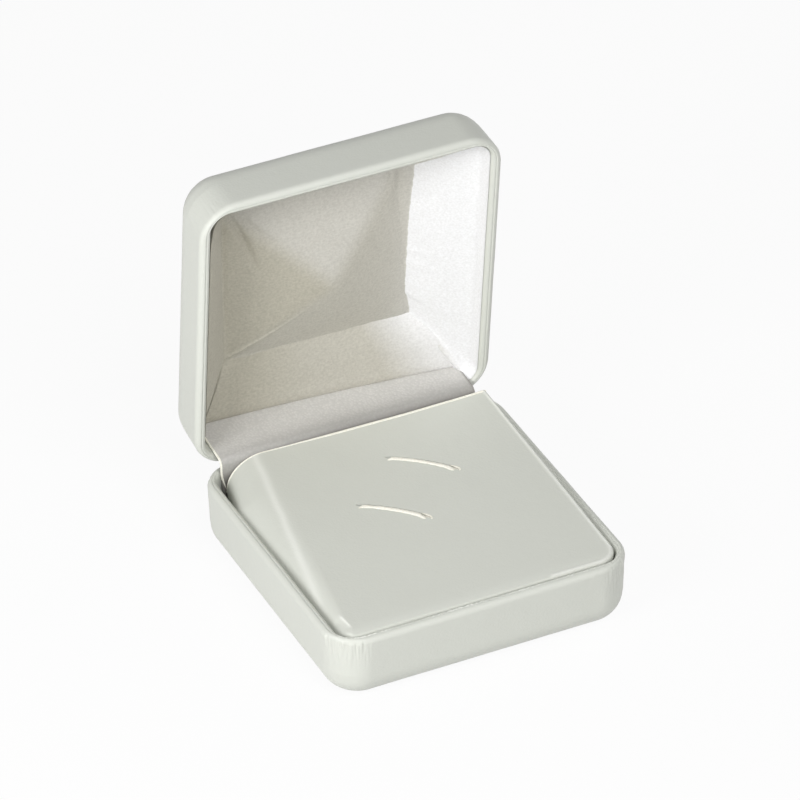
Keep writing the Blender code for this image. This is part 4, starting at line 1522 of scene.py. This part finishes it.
def side_shares(place):
    """How far a place has come from each side of the panel on the way to the peak, 0 to 1."""
    rear = panel_rear_y(place.x)
    depth = (place.y - PANEL_FRONT_Y) / (rear - PANEL_FRONT_Y)
    left = blended(-PANEL_LEFT_FRONT, -PANEL_LEFT_REAR, depth)
    right = blended(RIGHT_SLOPE_FRONT, PANEL_RIGHT, depth)
    shares = (
        (place.x - left) / (PEAK.x - left),
        (right - place.x) / (right - PEAK.x),
        (place.y - PANEL_FRONT_Y) / (PEAK.y - PANEL_FRONT_Y),
        (rear - place.y) / (rear - PEAK.y),
    )
    return [max(share, 0.0) for share in shares]


def pillow_share(place):
    """Height of the pillow at a place, as a share of its peak."""
    shares = side_shares(place)
    least = min(shares)
    pinched, along = off_line(place, PINCHED_CORNER, PEAK)
    soft = max(eased(abs(pinched), 0.0, 0.006), eased(along, 0.45, 0.90))
    softness = blended(PILLOW_CRISPNESS, PILLOW_SOFTNESS, soft) * eased(least, 0.0, 0.25)
    if softness < 1e-4:
        return least
    return least - softness * math.log(sum(math.exp((least - share) / softness) for share in shares))


print("height at the peak", pillow_share(PEAK) * PILLOW_HEIGHT)

# %% [markdown]
# Folds of the cloth are soft ridges along short lines, each with a height, a width and points that
# it passes. A minus sign makes a dent. The one that shows most is the pinched fold at the lower
# left, and beside it two dents run in from the upper left corner.

# %% folds in the panel
FOLDS = {
    "pinched": (0.00042, 0.00042, ((-24.2, 18.3), (-20.8, 16.6), (-15.8, 13.9), (-11.0, 11.0), (-4.5, 6.1))),
    "dent_corner": (-0.00078, 0.00090, ((-24.6, -24.2), (-21.2, -16.4), (-18.7, -9.2), (-16.8, -4.5))),
    "dent_edge": (-0.00066, 0.00085, ((-22.3, -24.2), (-19.5, -19.7), (-15.5, -15.3), (-10.6, -10.0))),
    "hump": (0.00016, 0.00080, ((-23.4, -23.0), (-20.2, -17.6), (-17.5, -12.5))),
    "nick": (-0.00022, 0.00040, ((15.0, -24.2), (15.7, -22.6), (15.9, -21.2))),
    "nick_ridge": (0.00020, 0.00036, ((16.9, -24.0), (17.1, -21.0), (17.3, -18.0))),
    "groove": (-0.00050, 0.00070, ((-26.2, -20.0), (-25.5, -3.0), (-25.0, 8.0), (-24.6, 15.0))),
}


def beside_line(place, points):
    """Distance from a place to a line through points, and the share of the line's length there."""
    best = (1.0, 0.0)
    for index, (first, last) in enumerate(zip(points, points[1:])):
        first = Vector(first) / 1000
        run = Vector(last) / 1000 - first
        along = clamped((place - first).dot(run) / run.length_squared)
        away = (place - first - run * along).length
        if away < best[0]:
            best = (away, (index + along) / (len(points) - 1))
    return best


def folds_lift(place):
    """Height that the folds add at a place of the panel."""
    lift = 0.0
    for height, width, points in FOLDS.values():
        away, share = beside_line(place, points)
        if away < 3 * width:
            fade = 1 - eased(share, 0.45, 1.0)
            lift += height * bell(away, width) * (0.25 + 0.75 * fade) * (1 - share**8)
    return lift


print(len(FOLDS), "folds")

# %% [markdown]
# A column of points runs from the rim down the wall, round the valley at the panel's edge and over
# the pillow to its peak. The valley is a little softer on the left. Behind the flap the satin lies
# deep, so the slit beside the flap's left end looks dark.

# %% columns of the satin
WALL_RINGS = 12
VALLEY_RINGS = 5
PILLOW_RINGS = 64
WALL_PUFF = 0.0005
CRISP_VALLEY = 0.0003
SOFT_VALLEY = 0.0010
FLAP_DEPTH = 0.00885
FLAP_SKEW = 0.00255
FLAP_BOW = 0.00095
BEHIND_FLAP_DEPTH = 0.0112
BEHIND_FLAP_START = 0.0296
BEHIND_FLAP_RUN = 0.0014
BEHIND_FLAP_FADE = (0.0285, 0.0330)
BAND_FACE = STRIP_MIDDLE + STRIP_THICKNESS / 2


def flap_fold_depth(x):
    """Depth behind the rim of the rear flap's fold, which runs aslant and bows a little."""
    side = x / HALF_WIDTH
    return FLAP_DEPTH - FLAP_SKEW * side - FLAP_BOW * side * side


def wall_start(rim, wall):
    """Two first points of a column, at the rim and where the wall begins to slope in."""
    behind = eased(rim.y, BEHIND_FLAP_START, BEHIND_FLAP_START + BEHIND_FLAP_RUN)
    behind *= 1 - eased(rim.x, *BEHIND_FLAP_FADE)
    deep_y = HALF_DEPTH - BAND_FACE - RIM_GAP
    first = lifted(rim, LINING_RIM_DEPTH)
    second = lifted(wall, LINING_WALL_DEPTH)
    first = first.lerp(Vector((rim.x, deep_y, BEHIND_FLAP_DEPTH)), behind)
    second = second.lerp(Vector((rim.x, deep_y - BEHIND_FLAP_RUN, BEHIND_FLAP_DEPTH)), behind)
    return first, second


def on_pillow(place):
    """Point of the pillow's face over a place of the panel."""
    return lifted(place, PANEL_DEPTH - PILLOW_HEIGHT * pillow_share(place))


def satin_column(rim, wall, edge, outward):
    """Points of one column, from the rim to just short of the peak."""
    first, second = wall_start(rim, wall)
    reach = blended(CRISP_VALLEY, SOFT_VALLEY, (1 - outward.x) / 2)
    inside = edge + (PEAK - edge).normalized() * reach
    corner = lifted(edge, PANEL_DEPTH)
    before = corner + (second - corner).normalized() * reach
    after = on_pillow(inside)
    points = [first, second]
    for share in evenly(WALL_RINGS, 1)[:-1]:
        points.append(lifted(second.lerp(before, share), -WALL_PUFF * math.sin(math.pi * share)))
    for share in evenly(VALLEY_RINGS):
        points.append(before.lerp(corner, share).lerp(corner.lerp(after, share), share))
    return points + [on_pillow(inside.lerp(PEAK, share)) for share in evenly(PILLOW_RINGS, 1)[:-1]]


satin_columns = []
sides = []
for (rim, outward, *_), (wall, *_), (edge, *_) in zip(
    wall_outline(LINING_INSET), wall_outline(LINING_INSET + LINING_WALL_TAPER), panel_outline()
):
    satin_columns.append(satin_column(rim, wall, edge, outward))
    sides.append(outward)
print(len(satin_columns), "columns of", len(satin_columns[0]), "points")

# %% [markdown]
# Noise makes the wrinkles of cloth that was pulled round a corner by hand, strongest near the
# panel's corners. The painted light in the satin's colour is full on the right wall and nil on the
# pillow's left slope. It is slight on the other slopes, most on the upper one and at the right edge.

# %% satin on walls and panel
WRINKLE_HEIGHT = 0.00020
WRINKLE_SIZE = 0.0042
WRINKLE_REACH = 0.009
SMOOTH_WRINKLES_SHARE = 0.25
WALL_ROWS = 2 + WALL_RINGS
# Shares of painted light on the pillow's slopes and along its right edge.
SLOPE_PAINTED_LIGHT = 0.13
UPPER_PAINTED_LIGHT = 0.20
RIGHT_EDGE_PAINTED_LIGHT = 0.20
RIGHT_EDGE_LIGHT_REACH = 0.0050


def wrinkled(point, row):
    """Satin point moved by its folds and wrinkles, and put over the shut tray."""
    ends = (PANEL_RIGHT, -PANEL_LEFT_REAR)
    corners = [Vector((x, y)) for x in ends for y in (panel_rear_y(x), PANEL_FRONT_Y)]
    near = bell(min((corner - point.xy).length for corner in corners), WRINKLE_REACH)
    lift = WRINKLE_HEIGHT * (SMOOTH_WRINKLES_SHARE + near) * uneven(point, WRINKLE_SIZE, 6.0)
    if row >= WALL_ROWS:
        lift += folds_lift(point.xy)
    return (point.x, point.y, LID_RIM + point.z - lift)


def painted_light(point, row, outward):
    """Share of painted light in the satin's colour at a point."""
    if row < WALL_ROWS:
        beside = eased(point.x, PANEL_RIGHT, HALF_WIDTH - 2 * WALL) * eased(outward.y, 0.0, 0.3)
        return max(eased(outward.x, 0.45, 0.85), beside)
    left, right, front, rear = side_shares(point.xy)
    plain = SLOPE_PAINTED_LIGHT * eased(left - min(right, front, rear), -0.10, 0.20)
    upper = UPPER_PAINTED_LIGHT * eased(min(left, right, rear) - front, -0.16, 0.22)
    edge = (PANEL_RIGHT - point.x) / RIGHT_EDGE_LIGHT_REACH
    return upper + (plain + RIGHT_EDGE_PAINTED_LIGHT * math.exp(-edge)) * (1 - upper)


satin_rows = list(zip(*satin_columns))
satin_face = [[wrinkled(point, row) for point in points] for row, points in enumerate(satin_rows)]
satin_painted_light = []
for row, points in enumerate(satin_rows):
    satin_painted_light.append([painted_light(point, row, outward) for point, outward in zip(points, sides)])


def set_back(rows, distance):
    """Rows of points moved back into the lid by a distance."""
    return [[(x, y, z + distance) for x, y, z in row] for row in rows]


lining = skin(
    "lid_satin",
    satin_face[::-1] + set_back(satin_face, SATIN_THICKNESS),
    SATIN,
    sharp=SHARP_CLOTH,
    keep=("painted_light", satin_painted_light[::-1] + satin_painted_light),
)
swung_open(lining)
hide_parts("lid_lining_satin")
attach(lining, "lid")
print("satin", lining.dimensions)

# %% [markdown]
# The card tray behind the satin can't be seen while the box is whole. It is drawn from the same
# rows, set a little further back, so that it carries the cloth everywhere and shows nowhere.

# %% card behind the satin
CARD_GAP = 0.00010
CARD_THICKNESS = 0.0006

card_front = SATIN_THICKNESS + CARD_GAP
card = skin(
    "lid_card",
    set_back(satin_face[2::3], card_front)[::-1] + set_back(satin_face[2::3], card_front + CARD_THICKNESS),
    BOARD,
    sharp=SHARP_CLOTH,
)
swung_open(card)
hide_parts("lid_lining_card")
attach(card, "lid")
print("card", card.dimensions)

# %% [markdown]
# The flap is a trapezium of satin that comes out from under the panel and is folded back along its
# lower edge. The fold is round and a little uneven, lies on the band and runs aslant, because the
# flap was folded by hand. Its left end stands clear of the side wall, which leaves a dark slit. At
# its right end it runs up against the wall, and there light is painted into its colour, as pale as
# the wall's.

# %% rear flap of the lining
FLAP_FOLD_RADIUS = 0.00045
FLAP_RISE = 0.00042
FLAP_PUFF = 0.0006
FLAP_OVERLAP = 0.0008
FLAP_WELT = 0.00025
FLAP_WELT_SHARE = 0.10
FLAP_LEFT_GAP = 0.0034
FLAP_CURL = 0.0010
FLAP_CURL_START = 0.88
FLAP_TUCK = 0.0006
FLAP_COLUMNS = 120
FLAP_ROWS = 26
FOLD_STEPS = 8
FLAP_RIPPLE = 0.00014
FLAP_RIPPLE_SIZE = 0.007
FLAP_PAINTED_LIGHT = 0.85
FLAP_LIGHT_START = 0.60


def flap_column(share):
    """Points of one column of the flap, from the panel's edge to the fold and back under."""
    half = HALF_WIDTH - LINING_INSET - SATIN_THICKNESS
    low_x = -half + FLAP_LEFT_GAP + (2 * half - FLAP_LEFT_GAP + FLAP_OVERLAP) * share
    top_x = -PANEL_LEFT_REAR + RIM_GAP + (PANEL_LEFT_REAR + PANEL_RIGHT - RIM_GAP + FLAP_OVERLAP) * share
    curl = FLAP_CURL * eased(share, FLAP_CURL_START, 1.0)
    start = Vector((top_x, panel_rear_y(top_x) - FLAP_TUCK, PANEL_DEPTH + RIM_GAP))
    fold = Vector((low_x, HALF_DEPTH - BAND_FACE - FLAP_RISE - curl / 4, flap_fold_depth(low_x) - curl / 4))
    points = []
    for along in evenly(FLAP_ROWS):
        belly = math.sin(math.pi * along)
        welt = FLAP_WELT * math.exp(-(((1 - along) / FLAP_WELT_SHARE - 1) ** 2))
        points.append(lifted(start.lerp(fold, along), -((FLAP_PUFF + curl) * belly + welt)))
    run = (fold - start).normalized()
    inward = Vector((0.0, -run.z, run.y)).normalized()
    if inward.y > 0:
        inward.negate()
    centre = fold - inward * FLAP_FOLD_RADIUS
    for step in range(1, FOLD_STEPS + 1):
        angle = math.pi * step / FOLD_STEPS
        points.append(centre + (inward * math.cos(angle) + run * math.sin(angle)) * FLAP_FOLD_RADIUS)
    return points


flap_columns = []
flap_painted_light = []
for share in evenly(FLAP_COLUMNS):
    ring = []
    for point in flap_column(share):
        ripple = FLAP_RIPPLE * uneven(point, FLAP_RIPPLE_SIZE, 9.0)
        ring.append((point.x, point.y - ripple, LID_RIM + point.z - ripple))
    flap_columns.append(ring)
    # Painted light, strong towards the flap's right end and slight in its middle.
    turn = max(FLAP_PAINTED_LIGHT * eased(share, FLAP_LIGHT_START, 1.0), SLOPE_PAINTED_LIGHT * eased(share, 0.1, 0.5))
    flap_painted_light.append([turn] * len(ring))

flap = skin(
    "lid_satin_flap", flap_columns, SATIN, around=False, capped=False, keep=("painted_light", flap_painted_light)
)
swung_open(flap)
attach(flap, "lid")
print("flap", flap.dimensions)
